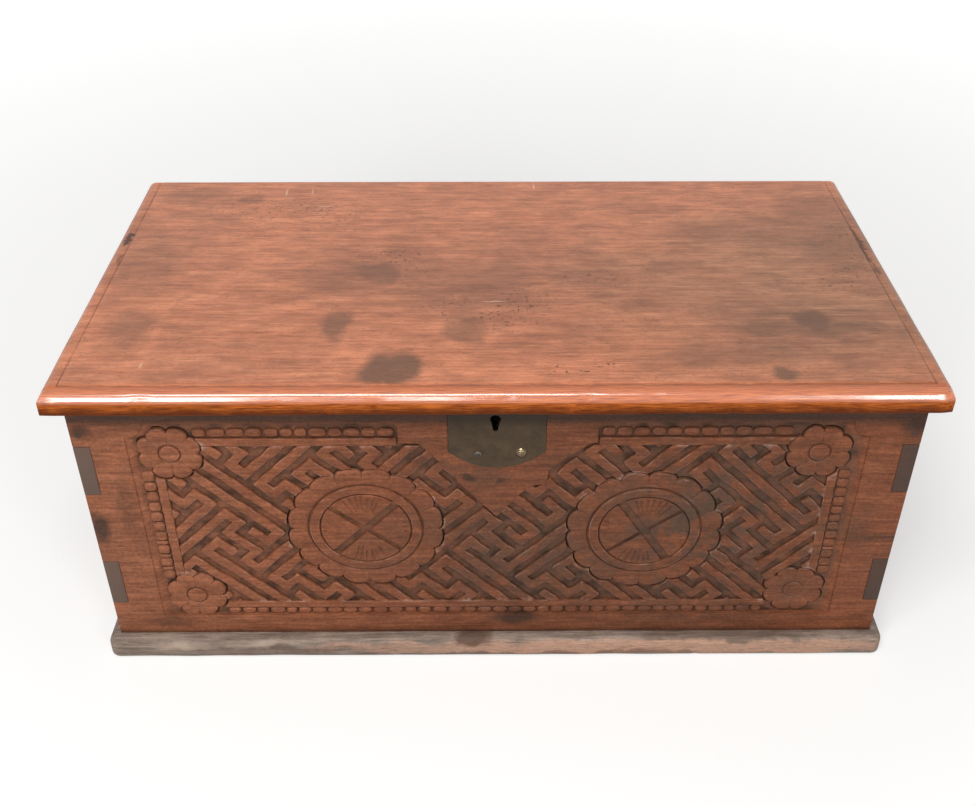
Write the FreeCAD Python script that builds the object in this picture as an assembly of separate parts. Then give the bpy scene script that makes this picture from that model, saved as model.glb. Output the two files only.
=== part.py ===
import FreeCAD, Part
import math
import os

from FreeCAD import Vector

# A carved wooden chest: finger-jointed box on a base plank, hinged lid, iron hinges and a lock.
# Millimetres. X runs right as seen from the front, Y runs to the back and Z runs up.
# The origin is on the floor under the middle of the lid.

# Box boards
box_width = 800.0
box_depth = 385.0
box_height = 308.0
board_thick = 16.0

# Finger joints, measured along the corner of the box
low_finger = 46.0
top_finger = 52.0
socket_height = 60.0

# Base plank
base_thick = 24.0
base_overhang = 13.0
base_edge_round = 8.0
base_under_round = 3.0
base_corner_round = 12.0

# Lid plank
lid_thick = 23.0
lid_end_overhang = 14.0
lid_long_overhang = 20.0
lid_top_round = 10.0
lid_under_round = 4.0
groove_inset = 16.0
groove_width = 2.0
groove_depth = 1.2

# Carved field of the front board
carve_depth = 4.0
field_end_margin = 58.0
field_low_margin = 27.5
field_top_margin = 32.0
bead_column = 12.5
bead_row = 9.5
fillet_band = 9.0
band_gap = 1.0

# Corner flowers
flower_radius = 31.0
flower_inset = 31.5
flower_petals = 8
flower_button = 10.0
petal_depth = 4.0
button_groove = 1.6

# Medallions
left_medallion_x = -130.0
left_medallion_rise = 149.5
right_medallion_x = 147.5
right_medallion_rise = 144.5
medallion_radius = 78.0
medallion_petals = 16
medallion_petal_depth = 6.0
ring_outer = 58.0
ring_inner = 48.0
ring_groove = 2.0
cross_bar = 9.0

# Plain ground under the lock plate
plain_shoulder = 90.0
plain_waist = 44.0
plain_waist_drop = 88.0
plain_point_drop = 142.0

# Lock plate on the front
lock_offset = -1.5
plate_width = 92.0
plate_thick = 1.5
plate_proud = 0.5
plate_top_gap = 2.0
plate_side_drop = 57.0
plate_shoulder = 10.0
plate_shoulder_drop = 7.0
plate_belly = 12.0

# Keyhole
keyhole_drop = 20.0
keyhole_round = 5.2
keyhole_neck = 8.0
keyhole_foot = 5.0
keyhole_slot_drop = 11.5

# Nails of the lock plate
tack_offset = -18.0
tack_rise = 16.0
tack_head = 3.3
tack_dome = 1.6
stud_offset = 23.0
stud_rise = 18.0
stud_head = 5.4
stud_dome = 3.0
pin_shank = 1.2
pin_length = 11.0

# Lock behind the front board
case_width = 90.0
case_height = 56.0
case_let_in = 8.0
case_wall = 1.5
selvage_ear = 16.0
selvage_thick = 2.0
cap_thick = 1.5
rivet_radius = 2.0
rivet_head = 3.0
rivet_head_height = 1.0
rivet_inset = 7.0
rivet_low = 7.0
rivet_high = 28.0
key_pin_radius = 2.0
key_pin_length = 10.0

# Bolt, guides and spring
bolt_length = 57.0
bolt_height = 9.0
bolt_thick = 4.0
bolt_drop = 4.0
bolt_tip_offset = 20.5
talon_width = 10.0
talon_depth = 4.0
guide_width = 6.0
guide_height = 6.0
guide_tail_inset = 3.0
guide_tip_inset = 0.5
spring_length = 28.0
spring_strip = 0.6
spring_gap = 0.3
spring_tail_inset = 3.0

# Staple and keeper on the lid
staple_width = 8.0
staple_leg = 2.0
staple_foot = 3.5
staple_swing = 1.2
eye_clear = 0.6
bolt_to_staple = 1.5
keeper_length = 44.0
keeper_breadth = 24.0
keeper_thick = 2.0
keeper_nail_inset = 6.0

# Hinges
hinge_inset = 150.0
strap_width = 34.0
strap_thick = 2.5
strap_length = 130.0
strap_gain_clear = 0.3
leaf_length = 84.0
knuckle_radius = 4.5
knuckle_count = 3
knuckle_gap = 0.3
barrel_clear = 0.4
hinge_pin_radius = 2.0
hinge_pin_clear = 0.05
pin_head_radius = 3.4
pin_head_height = 1.4

# Forged nails
nail_clear = 0.05
hinge_nail_head = 4.0
hinge_nail_head_height = 1.4
hinge_nail_shank = 1.6
hinge_nail_length = 13.0
hinge_nail_end = 12.0
hinge_nail_side = 8.0
flush_nail_head = 3.4
flush_nail_head_height = 1.2
flush_nail_shank = 1.4
flush_nail_length = 14.0
corner_nail_head = 3.0
corner_nail_shank = 1.5
corner_nail_length = 42.0
corner_nail_drop = 38.0
base_nail_head = 4.5
base_nail_head_height = 2.0
base_nail_shank = 2.0
base_nail_length = 52.0
base_nail_recess = 0.4
base_nail_corner_inset = 70.0
front_nail_count = 4
end_nail_count = 2

# Levels and faces worked out from the sizes above
half_width = box_width / 2
front_y = -box_depth / 2
back_y = box_depth / 2
inner_front_y = front_y + board_thick
inner_back_y = back_y - board_thick
rim_z = base_thick + box_height
lid_top_z = rim_z + lid_thick
plate_bottom_z = rim_z - plate_top_gap - plate_side_drop - plate_shoulder_drop - plate_belly
keyhole_z = rim_z - keyhole_drop

# Depth of the lock: the staple, the bolt in its eye and room for the staple to swing out
staple_depth = bolt_thick + 2 * eye_clear + 2 * staple_leg
case_front_y = inner_front_y - case_let_in
case_floor_y = case_front_y + case_wall
cap_y = case_floor_y + staple_depth + 2 * staple_swing
lock_mid_y = (case_floor_y + cap_y) / 2
case_left_x = lock_offset - case_width / 2
case_right_x = lock_offset + case_width / 2
case_low_z = rim_z - case_height

# Bolt at rest, drawn back from the staple
bolt_top_z = rim_z - bolt_drop
bolt_low_z = bolt_top_z - bolt_height
bolt_tip_x = lock_offset + bolt_tip_offset
bolt_tail_x = bolt_tip_x - bolt_length
staple_left_x = bolt_tip_x + bolt_to_staple
staple_mid_x = staple_left_x + staple_width / 2
eye_low_z = bolt_low_z - eye_clear
staple_low_z = eye_low_z - staple_foot

# Hinge axis behind the back board and under the lid
axis_y = back_y + knuckle_radius + barrel_clear
axis_z = rim_z - knuckle_radius - knuckle_gap
hinge_centres = {"left": -half_width + hinge_inset, "right": half_width - hinge_inset}
knuckle_length = (strap_width - (knuckle_count - 1) * knuckle_gap) / knuckle_count
leaf_low_z = axis_z - leaf_length
strap_low_z = rim_z - strap_thick


def block(low, high):
    """Box between two opposite corners."""
    size = [b - a for a, b in zip(low, high)]
    return Part.makeBox(*size, Vector(*low))


def rod(radius, length, start, direction):
    """Round bar from a point along a direction."""
    return Part.makeCylinder(radius, length, Vector(*start), Vector(*direction))


def joined(solids):
    """One solid from touching solids."""
    first = solids[0]
    return first.fuse(list(solids[1:])).removeSplitter()


def group(solids):
    """Separate solids kept side by side."""
    return Part.makeCompound(solids)


def front_face_wire(points):
    """Closed outline of straight lines and three-point arcs on the front of the box.

    Each entry is the end of a line as (x, z), or an arc as ((x, z) on the way, (x, z) at its end).
    """
    edges = []
    here = points[0]
    for step in points[1:] + [points[0]]:
        start = Vector(here[0], front_y, here[1])
        if isinstance(step[0], tuple):
            way, end = step
            middle = Vector(way[0], front_y, way[1])
            edges.append(Part.Arc(start, middle, Vector(end[0], front_y, end[1])).toShape())
            here = end
        elif step != here:
            edges.append(Part.LineSegment(start, Vector(step[0], front_y, step[1])).toShape())
            here = step
    return Part.Wire(edges)


def front_slab(points, near, far):
    """Outline on the front carried from one depth behind the front face to another."""
    face = Part.Face(front_face_wire(points))
    slab = face.extrude(Vector(0, far - near, 0))
    slab.translate(Vector(0, near, 0))
    return slab


def rectangle(low_x, low_z, high_x, high_z):
    """Corners of an upright rectangle on the front."""
    return [(low_x, low_z), (high_x, low_z), (high_x, high_z), (low_x, high_z)]


def petal_outline(centre, radius, petals, depth):
    """Round flower outline: one outward arc for each petal."""
    def at(turn, reach):
        angle = 2 * math.pi * turn / petals
        return (centre[0] + reach * math.cos(angle), centre[1] + reach * math.sin(angle))

    outline = [at(0, radius - depth)]
    for petal in range(petals):
        outline.append((at(petal + 0.5, radius), at(petal + 1, radius - depth)))
    outline[-1] = (outline[-1][0], outline[0])
    return outline


def flat_plank(length, breadth, thick, low_z):
    """Flat plank centred on the origin with square corners."""
    return block((-length / 2, -breadth / 2, low_z), (length / 2, breadth / 2, low_z + thick))


def rounded_corners(plank, corner):
    """Plank with its corners rounded in plan."""
    upright = [e for e in plank.Edges if abs(e.tangentAt(e.FirstParameter).z) > 0.5]
    return plank.makeFillet(corner, upright)


def edges_at(shape, level):
    """Edges that lie flat at one height."""
    return [e for e in shape.Edges if e.BoundBox.ZLength < 1e-6 and abs(e.BoundBox.ZMin - level) < 1e-6]


def flat_nail(head_radius, head_height, shank_radius, length, seat, direction):
    """Nail whose head stands on the seat and whose shank runs along the direction."""
    way = Vector(*direction)
    head = Part.makeCylinder(head_radius, head_height, Vector(*seat), way * -1)
    shank = Part.makeCylinder(shank_radius, length, Vector(*seat), way)
    return joined([head, shank])


def dome_nail(head_radius, dome, x, z):
    """Dome-headed nail driven into the lock plate along Y."""
    seat_y = front_y - plate_proud
    ball = (head_radius ** 2 + dome ** 2) / (2 * dome)
    centre = Vector(x, seat_y + ball - dome, z)
    sphere = Part.makeSphere(ball, centre)
    outside = block((x - ball, seat_y - dome, z - ball), (x + ball, seat_y, z + ball))
    shank = rod(pin_shank, pin_length, (x, seat_y, z), (0, 1, 0))
    return joined([sphere.common(outside), shank])


def clear_hole(shank_radius, length, seat, direction):
    """Hole for a nail's shank."""
    return rod(shank_radius + nail_clear, length, seat, direction)


def socket_spans():
    """Heights at which the side boards' fingers come through the corners."""
    low = base_thick + low_finger
    high = rim_z - top_finger
    return [(low, low + socket_height), (high - socket_height, high)]


def finger_spans():
    """Heights of the front and back boards' own fingers."""
    levels = [base_thick]
    for low, high in socket_spans():
        levels += [low, high]
    levels.append(rim_z)
    return list(zip(levels[0::2], levels[1::2]))


def corner_columns(spans):
    """Blocks in all four corners of the box at the given heights."""
    blocks = []
    for low, high in spans:
        for x in (-half_width, half_width - board_thick):
            for y in (front_y, back_y - board_thick):
                blocks.append(block((x, y, low), (x + board_thick, y + board_thick, high)))
    return blocks


def corner_nail_seats():
    """Nail heads in the top fingers, with the way they are driven."""
    seats = []
    level = rim_z - corner_nail_drop
    for x in (-half_width + board_thick / 2, half_width - board_thick / 2):
        seats.append(((x, front_y, level), (0, 1, 0)))
        seats.append(((x, back_y, level), (0, -1, 0)))
    return seats


def base_nail_seats():
    """Nails along the middle of each board, seen from under the base."""
    def spread(half_length, count):
        reach = half_length - base_nail_corner_inset
        return [-reach + 2 * reach * i / (count - 1) for i in range(count)]

    inset = board_thick / 2
    seats = []
    for x in spread(half_width, front_nail_count):
        seats += [(x, front_y + inset), (x, back_y - inset)]
    for y in spread(box_depth / 2, end_nail_count):
        seats += [(-half_width + inset, y), (half_width - inset, y)]
    return [(x, y, base_nail_recess + base_nail_head_height) for x, y in seats]


def box_nail_holes():
    """Holes that the base nails and corner nails leave in the boards."""
    holes = [clear_hole(base_nail_shank, base_nail_length, s, (0, 0, 1)) for s in base_nail_seats()]
    for seat, way in corner_nail_seats():
        holes.append(clear_hole(corner_nail_shank, corner_nail_length, seat, way))
        holes.append(corner_nail_sink(seat, way))
    return holes


def corner_nail_sink(seat, way):
    """Shallow round seat that lets a corner nail's head in flush."""
    return rod(corner_nail_head, flush_nail_head_height, seat, way)


def keyhole_outline():
    """Round hole with a narrowing slot below it, as an outline on the front."""
    half = keyhole_neck / 2
    tip = keyhole_foot / 2
    neck = keyhole_z - math.sqrt(keyhole_round ** 2 - half ** 2)
    foot = keyhole_z - keyhole_slot_drop
    return [
        (lock_offset - half, neck),
        ((lock_offset, keyhole_z + keyhole_round), (lock_offset + half, neck)),
        (lock_offset + tip, foot),
        ((lock_offset, foot - tip), (lock_offset - tip, foot)),
    ]


def keyhole_cut(near, far):
    """Keyhole between two depths behind the front face."""
    return front_slab(keyhole_outline(), near, far)


def lock_plate_outline():
    """Straight-sided plate with sloping shoulders and a bellied lower edge."""
    half = plate_width / 2
    top = rim_z - plate_top_gap
    side = top - plate_side_drop
    shoulder = side - plate_shoulder_drop
    return [
        (-half, top),
        (-half, side),
        (-half + plate_shoulder, shoulder),
        ((0.0, plate_bottom_z), (half - plate_shoulder, shoulder)),
        (half, side),
        (half, top),
    ]


def plate_nail_places():
    """Tack and stud on the lock plate as (x, z)."""
    return (tack_offset, plate_bottom_z + tack_rise), (stud_offset, plate_bottom_z + stud_rise)


def plate_nail_holes():
    """Holes for the shanks of the tack and the stud."""
    return [clear_hole(pin_shank, pin_length, (x, front_y - plate_proud, z), (0, 1, 0))
            for x, z in plate_nail_places()]


def lock_plate():
    """Dark metal plate let into the front round the keyhole."""
    plate = front_slab(lock_plate_outline(), -plate_proud, plate_thick - plate_proud)
    plate = plate.cut(keyhole_cut(-plate_proud, plate_thick))
    return plate.cut(plate_nail_holes())


def field_limits():
    """Carved field as low x, low z, high x, high z."""
    high_x = half_width - field_end_margin
    return -high_x, base_thick + field_low_margin, high_x, rim_z - field_top_margin


def flower_centres():
    """Middle of each corner flower."""
    low_x, low_z, high_x, high_z = field_limits()
    return [(x, z) for x in (low_x + flower_inset, high_x - flower_inset)
            for z in (low_z + flower_inset, high_z - flower_inset)]


def carved_flower(centre):
    """Corner flower standing to board level, with a groove round its button."""
    flower = front_slab(petal_outline(centre, flower_radius, flower_petals, petal_depth), 0, carve_depth)
    start = (centre[0], front_y, centre[1])
    groove = rod(flower_button + button_groove, carve_depth, start, (0, 1, 0))
    groove = groove.cut(rod(flower_button, carve_depth, start, (0, 1, 0)))
    return flower.cut(groove)


def medallion_centres():
    """Middle of each medallion, set out by eye and so not quite alike."""
    return [(left_medallion_x, base_thick + left_medallion_rise),
            (right_medallion_x, base_thick + right_medallion_rise)]


def carved_medallion(centre):
    """Petalled border, raised ring and four pads between a sunk cross."""
    start = (centre[0], front_y, centre[1])

    def disc(radius):
        return rod(radius, carve_depth, start, (0, 1, 0))

    outline = petal_outline(centre, medallion_radius, medallion_petals, medallion_petal_depth)
    border = front_slab(outline, 0, carve_depth).cut(disc(ring_outer + ring_groove))
    ring = disc(ring_outer).cut(disc(ring_inner))
    pads = disc(ring_inner - ring_groove)
    for tilt in (45, -45):
        bar = block((-ring_inner, 0, -cross_bar / 2), (ring_inner, carve_depth, cross_bar / 2))
        bar.rotate(Vector(0, 0, 0), Vector(0, 1, 0), tilt)
        bar.translate(Vector(*start))
        pads = pads.cut(bar)
    return [border, ring, pads]


def carved_bands():
    """Bead bands and fillets round the field, cut away again under the flowers."""
    low_x, low_z, high_x, high_z = field_limits()
    depth = (0, carve_depth)
    bands = []
    for offset, width in ((0.0, bead_row), (bead_row + band_gap, fillet_band)):
        bands.append(front_slab(rectangle(low_x, low_z + offset, high_x, low_z + offset + width), *depth))
        bands.append(front_slab(rectangle(low_x, high_z - offset - width, high_x, high_z - offset), *depth))
    for offset, width in ((0.0, bead_column), (bead_column + band_gap, fillet_band)):
        bands.append(front_slab(rectangle(low_x + offset, low_z, low_x + offset + width, high_z), *depth))
        bands.append(front_slab(rectangle(high_x - offset - width, low_z, high_x - offset, high_z), *depth))
    return bands


def plain_ground():
    """Uncarved ground under the lock plate, narrowing to a point."""
    high_z = field_limits()[3]
    eave_z = high_z - bead_row - band_gap - fillet_band
    waist_z = rim_z - plain_waist_drop
    outline = [
        (lock_offset - plain_shoulder, high_z),
        (lock_offset - plain_shoulder, eave_z),
        (lock_offset - plain_waist, waist_z),
        (lock_offset, rim_z - plain_point_drop),
        (lock_offset + plain_waist, waist_z),
        (lock_offset + plain_shoulder, eave_z),
        (lock_offset + plain_shoulder, high_z),
    ]
    return front_slab(outline, 0, carve_depth)


def sunk_ground():
    """What is cut away from the field to leave the carving standing."""
    ground = front_slab(rectangle(*field_limits()), 0, carve_depth)
    flower_beds = []
    for x, z in flower_centres():
        flower_beds.append(rod(flower_radius + band_gap, carve_depth, (x, front_y, z), (0, 1, 0)))
    ground = ground.cut([band.cut(flower_beds) for band in carved_bands()])
    ground = ground.cut([carved_flower(centre) for centre in flower_centres()])
    for centre in medallion_centres():
        ground = ground.cut(carved_medallion(centre))
    return ground.cut(plain_ground())


def lock_mortise():
    """Room for the lock in the inside of the front board and in its top edge."""
    mortise = block((case_left_x, case_front_y, case_low_z), (case_right_x, inner_front_y, rim_z))
    ears = block((case_left_x - selvage_ear, case_front_y, rim_z - selvage_thick),
                 (case_right_x + selvage_ear, inner_front_y, rim_z))
    return [mortise, ears]


def lock_nail_seats():
    """Nails in the ears of the lock's top plate."""
    middle_y = (case_front_y + inner_front_y) / 2
    seat_z = rim_z - flush_nail_head_height
    return [(x, middle_y, seat_z) for x in
            (case_left_x - selvage_ear / 2, case_right_x + selvage_ear / 2)]


def front_board():
    """Carved front with finger ends, the lock's mortise and the keyhole."""
    board = block((-half_width, front_y, base_thick), (half_width, inner_front_y, rim_z))
    board = board.cut(corner_columns(socket_spans()))
    board = board.cut(sunk_ground())
    board = board.cut(front_slab(lock_plate_outline(), 0, plate_thick - plate_proud))
    board = board.cut(lock_mortise() + [keyhole_cut(0, board_thick)] + plate_nail_holes())
    nails = [clear_hole(flush_nail_shank, flush_nail_length, s, (0, 0, -1)) for s in lock_nail_seats()]
    return board.cut(nails + box_nail_holes())


def hinge_gain(centre):
    """Shallow cut in the back board's top edge that a hinge strap lies in."""
    half = strap_width / 2 + knuckle_gap
    floor_z = strap_low_z - strap_gain_clear
    return block((centre - half, inner_back_y, floor_z), (centre + half, back_y, rim_z))


def leaf_nail_seats(centre):
    """Nails of a hinge leaf, in pairs down the back."""
    outer_y = back_y + strap_thick
    rows = (axis_z - 2 * hinge_nail_end, leaf_low_z + hinge_nail_end)
    return [(centre + side * hinge_nail_side, outer_y, z) for side in (-1, 1) for z in rows]


def strap_nail_seats(centre):
    """Nails of a hinge strap, in line under the lid."""
    first = inner_back_y - hinge_nail_end
    last = axis_y - strap_length + hinge_nail_end
    return [(centre, first + (last - first) * i / 2, strap_low_z) for i in range(3)]


def back_board():
    """Plain back with finger ends and a gain for each hinge strap."""
    board = block((-half_width, inner_back_y, base_thick), (half_width, back_y, rim_z))
    board = board.cut(corner_columns(socket_spans()))
    holes = box_nail_holes()
    for centre in hinge_centres.values():
        holes.append(hinge_gain(centre))
        for seat in leaf_nail_seats(centre):
            holes.append(clear_hole(hinge_nail_shank, hinge_nail_length, seat, (0, -1, 0)))
    return board.cut(holes)


def side_board(side):
    """End board whose fingers pass through the front and back boards."""
    outer = side * half_width
    inner = side * (half_width - board_thick)
    board = block((min(outer, inner), front_y, base_thick), (max(outer, inner), back_y, rim_z))
    return board.cut(corner_columns(finger_spans()) + box_nail_holes())


def base_board():
    """Plank under the box with a rounded edge and sunk seats for the nail heads."""
    length = box_width + 2 * base_overhang
    breadth = box_depth + 2 * base_overhang
    plank = rounded_corners(flat_plank(length, breadth, base_thick, 0), base_corner_round)
    plank = plank.makeFillet(base_edge_round, edges_at(plank, base_thick))
    plank = plank.makeFillet(base_under_round, edges_at(plank, 0))
    holes = []
    for x, y, z in base_nail_seats():
        holes.append(rod(base_nail_head + nail_clear, z, (x, y, 0), (0, 0, 1)))
        holes.append(clear_hole(base_nail_shank, base_nail_length, (x, y, z), (0, 0, 1)))
    return plank.cut(holes)


def base_nails():
    """Nails driven up into the boards."""
    return group([flat_nail(base_nail_head, base_nail_head_height, base_nail_shank, base_nail_length,
                            seat, (0, 0, 1)) for seat in base_nail_seats()])


def corner_nails():
    """Flush nails through the fingers into the ends of the side boards."""
    nails = []
    for seat, way in corner_nail_seats():
        under_head = [p + flush_nail_head_height * w for p, w in zip(seat, way)]
        length = corner_nail_length - flush_nail_head_height
        nails.append(flat_nail(corner_nail_head - nail_clear, flush_nail_head_height, corner_nail_shank,
                               length, under_head, way))
    return group(nails)


def groove_cutter():
    """V-shaped scribed line along the front and both ends of the lid."""
    half_length = half_width + lid_end_overhang
    half_breadth = box_depth / 2 + lid_long_overhang
    left_x = -half_length + groove_inset
    line_y = -half_breadth + groove_inset
    half = groove_width / 2

    def ridge(start, across, along):
        corner = Vector(*start)
        side = Vector(*across)
        points = [corner - side * half, corner + side * half, corner - Vector(0, 0, groove_depth)]
        return Part.Face(Part.makePolygon(points + points[:1])).extrude(Vector(*along))

    to_back = 2 * half_breadth - groove_inset
    front = ridge((left_x, line_y, lid_top_z), (0, 1, 0), (-2 * left_x, 0, 0))
    ends = [ridge((x, line_y, lid_top_z), (1, 0, 0), (0, to_back, 0)) for x in (left_x, -left_x)]
    return [front] + ends


def keeper_corners():
    """Keeper plate's nails round the staple."""
    seat_z = rim_z + flush_nail_head_height
    reach_x = keeper_length / 2 - keeper_nail_inset
    reach_y = keeper_breadth / 2 - keeper_nail_inset
    return [(staple_mid_x + i * reach_x, lock_mid_y + j * reach_y, seat_z)
            for i in (-1, 1) for j in (-1, 1)]


def keeper_limits():
    """Keeper plate's low and high corners, flush with the underside of the lid."""
    low = (staple_mid_x - keeper_length / 2, lock_mid_y - keeper_breadth / 2, rim_z)
    high = (staple_mid_x + keeper_length / 2, lock_mid_y + keeper_breadth / 2, rim_z + keeper_thick)
    return low, high


def lid_board():
    """Lid plank, moulded on top along the front and the ends, with seats for its ironwork."""
    length = box_width + 2 * lid_end_overhang
    breadth = box_depth + 2 * lid_long_overhang
    plank = flat_plank(length, breadth, lid_thick, rim_z)
    moulded = [e for e in edges_at(plank, lid_top_z) if e.BoundBox.YMin < breadth / 2 - lid_top_round]
    plank = plank.makeFillet(lid_top_round, moulded)
    # The rounded lower back edge swings clear of the hinge leaves when the lid opens.
    plank = plank.makeFillet(lid_under_round, edges_at(plank, rim_z))
    holes = groove_cutter() + [block(*keeper_limits())]
    for seat in keeper_corners():
        holes.append(clear_hole(flush_nail_shank, flush_nail_length, seat, (0, 0, 1)))
    for centre in hinge_centres.values():
        for seat in strap_nail_seats(centre):
            holes.append(clear_hole(hinge_nail_shank, hinge_nail_length, seat, (0, 0, 1)))
    return plank.cut(holes)


def knuckle(centre, number):
    """One tube of a hinge barrel."""
    start = centre - strap_width / 2 + number * (knuckle_length + knuckle_gap)
    return rod(knuckle_radius, knuckle_length, (start, axis_y, axis_z), (1, 0, 0))


def pin_bore(centre):
    """Bore through a whole hinge barrel."""
    start = centre - strap_width / 2
    return rod(hinge_pin_radius + hinge_pin_clear, strap_width, (start, axis_y, axis_z), (1, 0, 0))


def barrel_room(centre, number):
    """Room round another leaf's knuckle."""
    start = centre - strap_width / 2 + number * (knuckle_length + knuckle_gap) - knuckle_gap
    reach = knuckle_radius + knuckle_gap
    return rod(reach, knuckle_length + 2 * knuckle_gap, (start, axis_y, axis_z), (1, 0, 0))


def hinge_strap(centre):
    """Iron strap under the lid with the middle knuckle."""
    half = strap_width / 2
    point = axis_y - strap_length
    plan = [(centre - half, axis_y), (centre + half, axis_y), (centre + half, point + half),
            (centre, point), (centre - half, point + half)]
    outline = [Vector(x, y, strap_low_z) for x, y in plan]
    plate = Part.Face(Part.makePolygon(outline + outline[:1])).extrude(Vector(0, 0, strap_thick))
    strap = joined([plate, knuckle(centre, 1)])
    strap = strap.cut([barrel_room(centre, 0), barrel_room(centre, 2), pin_bore(centre)])
    return strap.cut([clear_hole(hinge_nail_shank, hinge_nail_length, s, (0, 0, 1))
                      for s in strap_nail_seats(centre)])


def hinge_leaf(centre):
    """Iron leaf on the back board with the two outer knuckles."""
    half = strap_width / 2
    plate = block((centre - half, back_y, leaf_low_z), (centre + half, back_y + strap_thick, axis_z))
    leaf = joined([plate, knuckle(centre, 0), knuckle(centre, 2)])
    leaf = leaf.cut([barrel_room(centre, 1), pin_bore(centre)])
    return leaf.cut([clear_hole(hinge_nail_shank, hinge_nail_length, s, (0, -1, 0))
                     for s in leaf_nail_seats(centre)])


def hinge_pin(centre):
    """Pin through the barrel, spread to a head at both ends."""
    half = strap_width / 2
    shank = rod(hinge_pin_radius, strap_width, (centre - half, axis_y, axis_z), (1, 0, 0))
    left = rod(pin_head_radius, pin_head_height, (centre - half, axis_y, axis_z), (-1, 0, 0))
    right = rod(pin_head_radius, pin_head_height, (centre + half, axis_y, axis_z), (1, 0, 0))
    return joined([shank, left, right])


def hinge_nails(seats, way):
    """Nails that hold one side of both hinges."""
    nails = []
    for centre in hinge_centres.values():
        for seat in seats(centre):
            nails.append(flat_nail(hinge_nail_head, hinge_nail_head_height, hinge_nail_shank,
                                   hinge_nail_length, seat, way))
    return group(nails)


def staple_slot():
    """Gap in the lock's top plate that the staple comes down through."""
    return block((staple_left_x - staple_swing, case_floor_y, rim_z - selvage_thick),
                 (staple_left_x + staple_width + staple_swing, cap_y, rim_z))


def lock_case():
    """Iron tray with a top plate whose ears lie in the edge of the front board."""
    tray = block((case_left_x, case_front_y, case_low_z), (case_right_x, cap_y, rim_z))
    hollow = block((case_left_x + case_wall, case_floor_y, case_low_z + case_wall),
                   (case_right_x - case_wall, cap_y, rim_z - selvage_thick))
    ears = block((case_left_x - selvage_ear, case_front_y, rim_z - selvage_thick),
                 (case_right_x + selvage_ear, inner_front_y, rim_z))
    case = joined([tray.cut(hollow), ears])
    cuts = [staple_slot(), keyhole_cut(case_front_y - front_y, case_floor_y - front_y)]
    for x, y, z in lock_nail_seats():
        cuts.append(clear_hole(flush_nail_shank, flush_nail_length, (x, y, z), (0, 0, -1)))
        cuts.append(rod(flush_nail_head + nail_clear, flush_nail_head_height, (x, y, z), (0, 0, 1)))
    return case.cut(cuts)


def lock_nails():
    """Nails in the ears of the lock's top plate, heads flush."""
    return group([flat_nail(flush_nail_head, flush_nail_head_height, flush_nail_shank, flush_nail_length,
                            seat, (0, 0, -1)) for seat in lock_nail_seats()])


def rivet_places():
    """Four posts inside the lock, clear of the bolt and the key."""
    return [(x, z) for x in (case_left_x + rivet_inset, case_right_x - rivet_inset)
            for z in (case_low_z + rivet_low, case_low_z + rivet_high)]


def lock_cap():
    """Cover of the lock, seen from inside the chest."""
    cap = block((case_left_x, cap_y, case_low_z), (case_right_x, cap_y + cap_thick, rim_z))
    holes = [clear_hole(rivet_radius, cap_thick, (x, cap_y, z), (0, 1, 0)) for x, z in rivet_places()]
    holes.append(clear_hole(key_pin_radius, cap_thick, (lock_offset, cap_y, keyhole_z), (0, 1, 0)))
    return cap.cut(holes)


def lock_cap_rivets():
    """Posts from the floor of the tray through the cap."""
    rivets = []
    outer_y = cap_y + cap_thick
    for x, z in rivet_places():
        post = rod(rivet_radius, outer_y - case_floor_y, (x, case_floor_y, z), (0, 1, 0))
        head = rod(rivet_head, rivet_head_height, (x, outer_y, z), (0, 1, 0))
        rivets.append(joined([post, head]))
    return group(rivets)


def lock_key_pin():
    """Pin in the cap that a hollow key turns on."""
    outer_y = cap_y + cap_thick
    pin = rod(key_pin_radius, key_pin_length + cap_thick, (lock_offset, outer_y, keyhole_z), (0, -1, 0))
    head = rod(rivet_head, rivet_head_height, (lock_offset, outer_y, keyhole_z), (0, 1, 0))
    return joined([pin, head])


def lock_bolt():
    """Sliding bar with a notch for the key."""
    low_y = lock_mid_y - bolt_thick / 2
    high_y = lock_mid_y + bolt_thick / 2
    bar = block((bolt_tail_x, low_y, bolt_low_z), (bolt_tip_x, high_y, bolt_top_z))
    talon = block((lock_offset - talon_width / 2, low_y, bolt_low_z),
                  (lock_offset + talon_width / 2, high_y, bolt_low_z + talon_depth))
    return bar.cut(talon)


def lock_bolt_guides():
    """Two blocks on the floor of the tray that the bolt slides on."""
    high_y = lock_mid_y + bolt_thick / 2
    guides = []
    for x in (bolt_tail_x + guide_tail_inset, bolt_tip_x - guide_width - guide_tip_inset):
        guides.append(block((x, case_floor_y, bolt_low_z - guide_height), (x + guide_width, high_y, bolt_low_z)))
    return group(guides)


def lock_bolt_spring():
    """Bowed strip that stands on the bolt and rubs under the lock's top plate."""
    start_x = bolt_tail_x + spring_tail_inset
    middle_x = start_x + spring_length / 2
    end_x = start_x + spring_length
    crown_z = rim_z - selvage_thick - spring_gap
    low_y = lock_mid_y - bolt_thick / 2

    def at(x, z):
        return Vector(x, low_y, z)

    upper = Part.Arc(at(start_x, bolt_top_z + spring_strip), at(middle_x, crown_z),
                     at(end_x, bolt_top_z + spring_strip)).toShape()
    lower = Part.Arc(at(end_x, bolt_top_z), at(middle_x, crown_z - spring_strip),
                     at(start_x, bolt_top_z)).toShape()
    ends = [Part.LineSegment(at(end_x, bolt_top_z + spring_strip), at(end_x, bolt_top_z)).toShape(),
            Part.LineSegment(at(start_x, bolt_top_z), at(start_x, bolt_top_z + spring_strip)).toShape()]
    outline = Part.Wire([upper, ends[0], lower, ends[1]])
    return Part.Face(outline).extrude(Vector(0, bolt_thick, 0))


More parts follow.
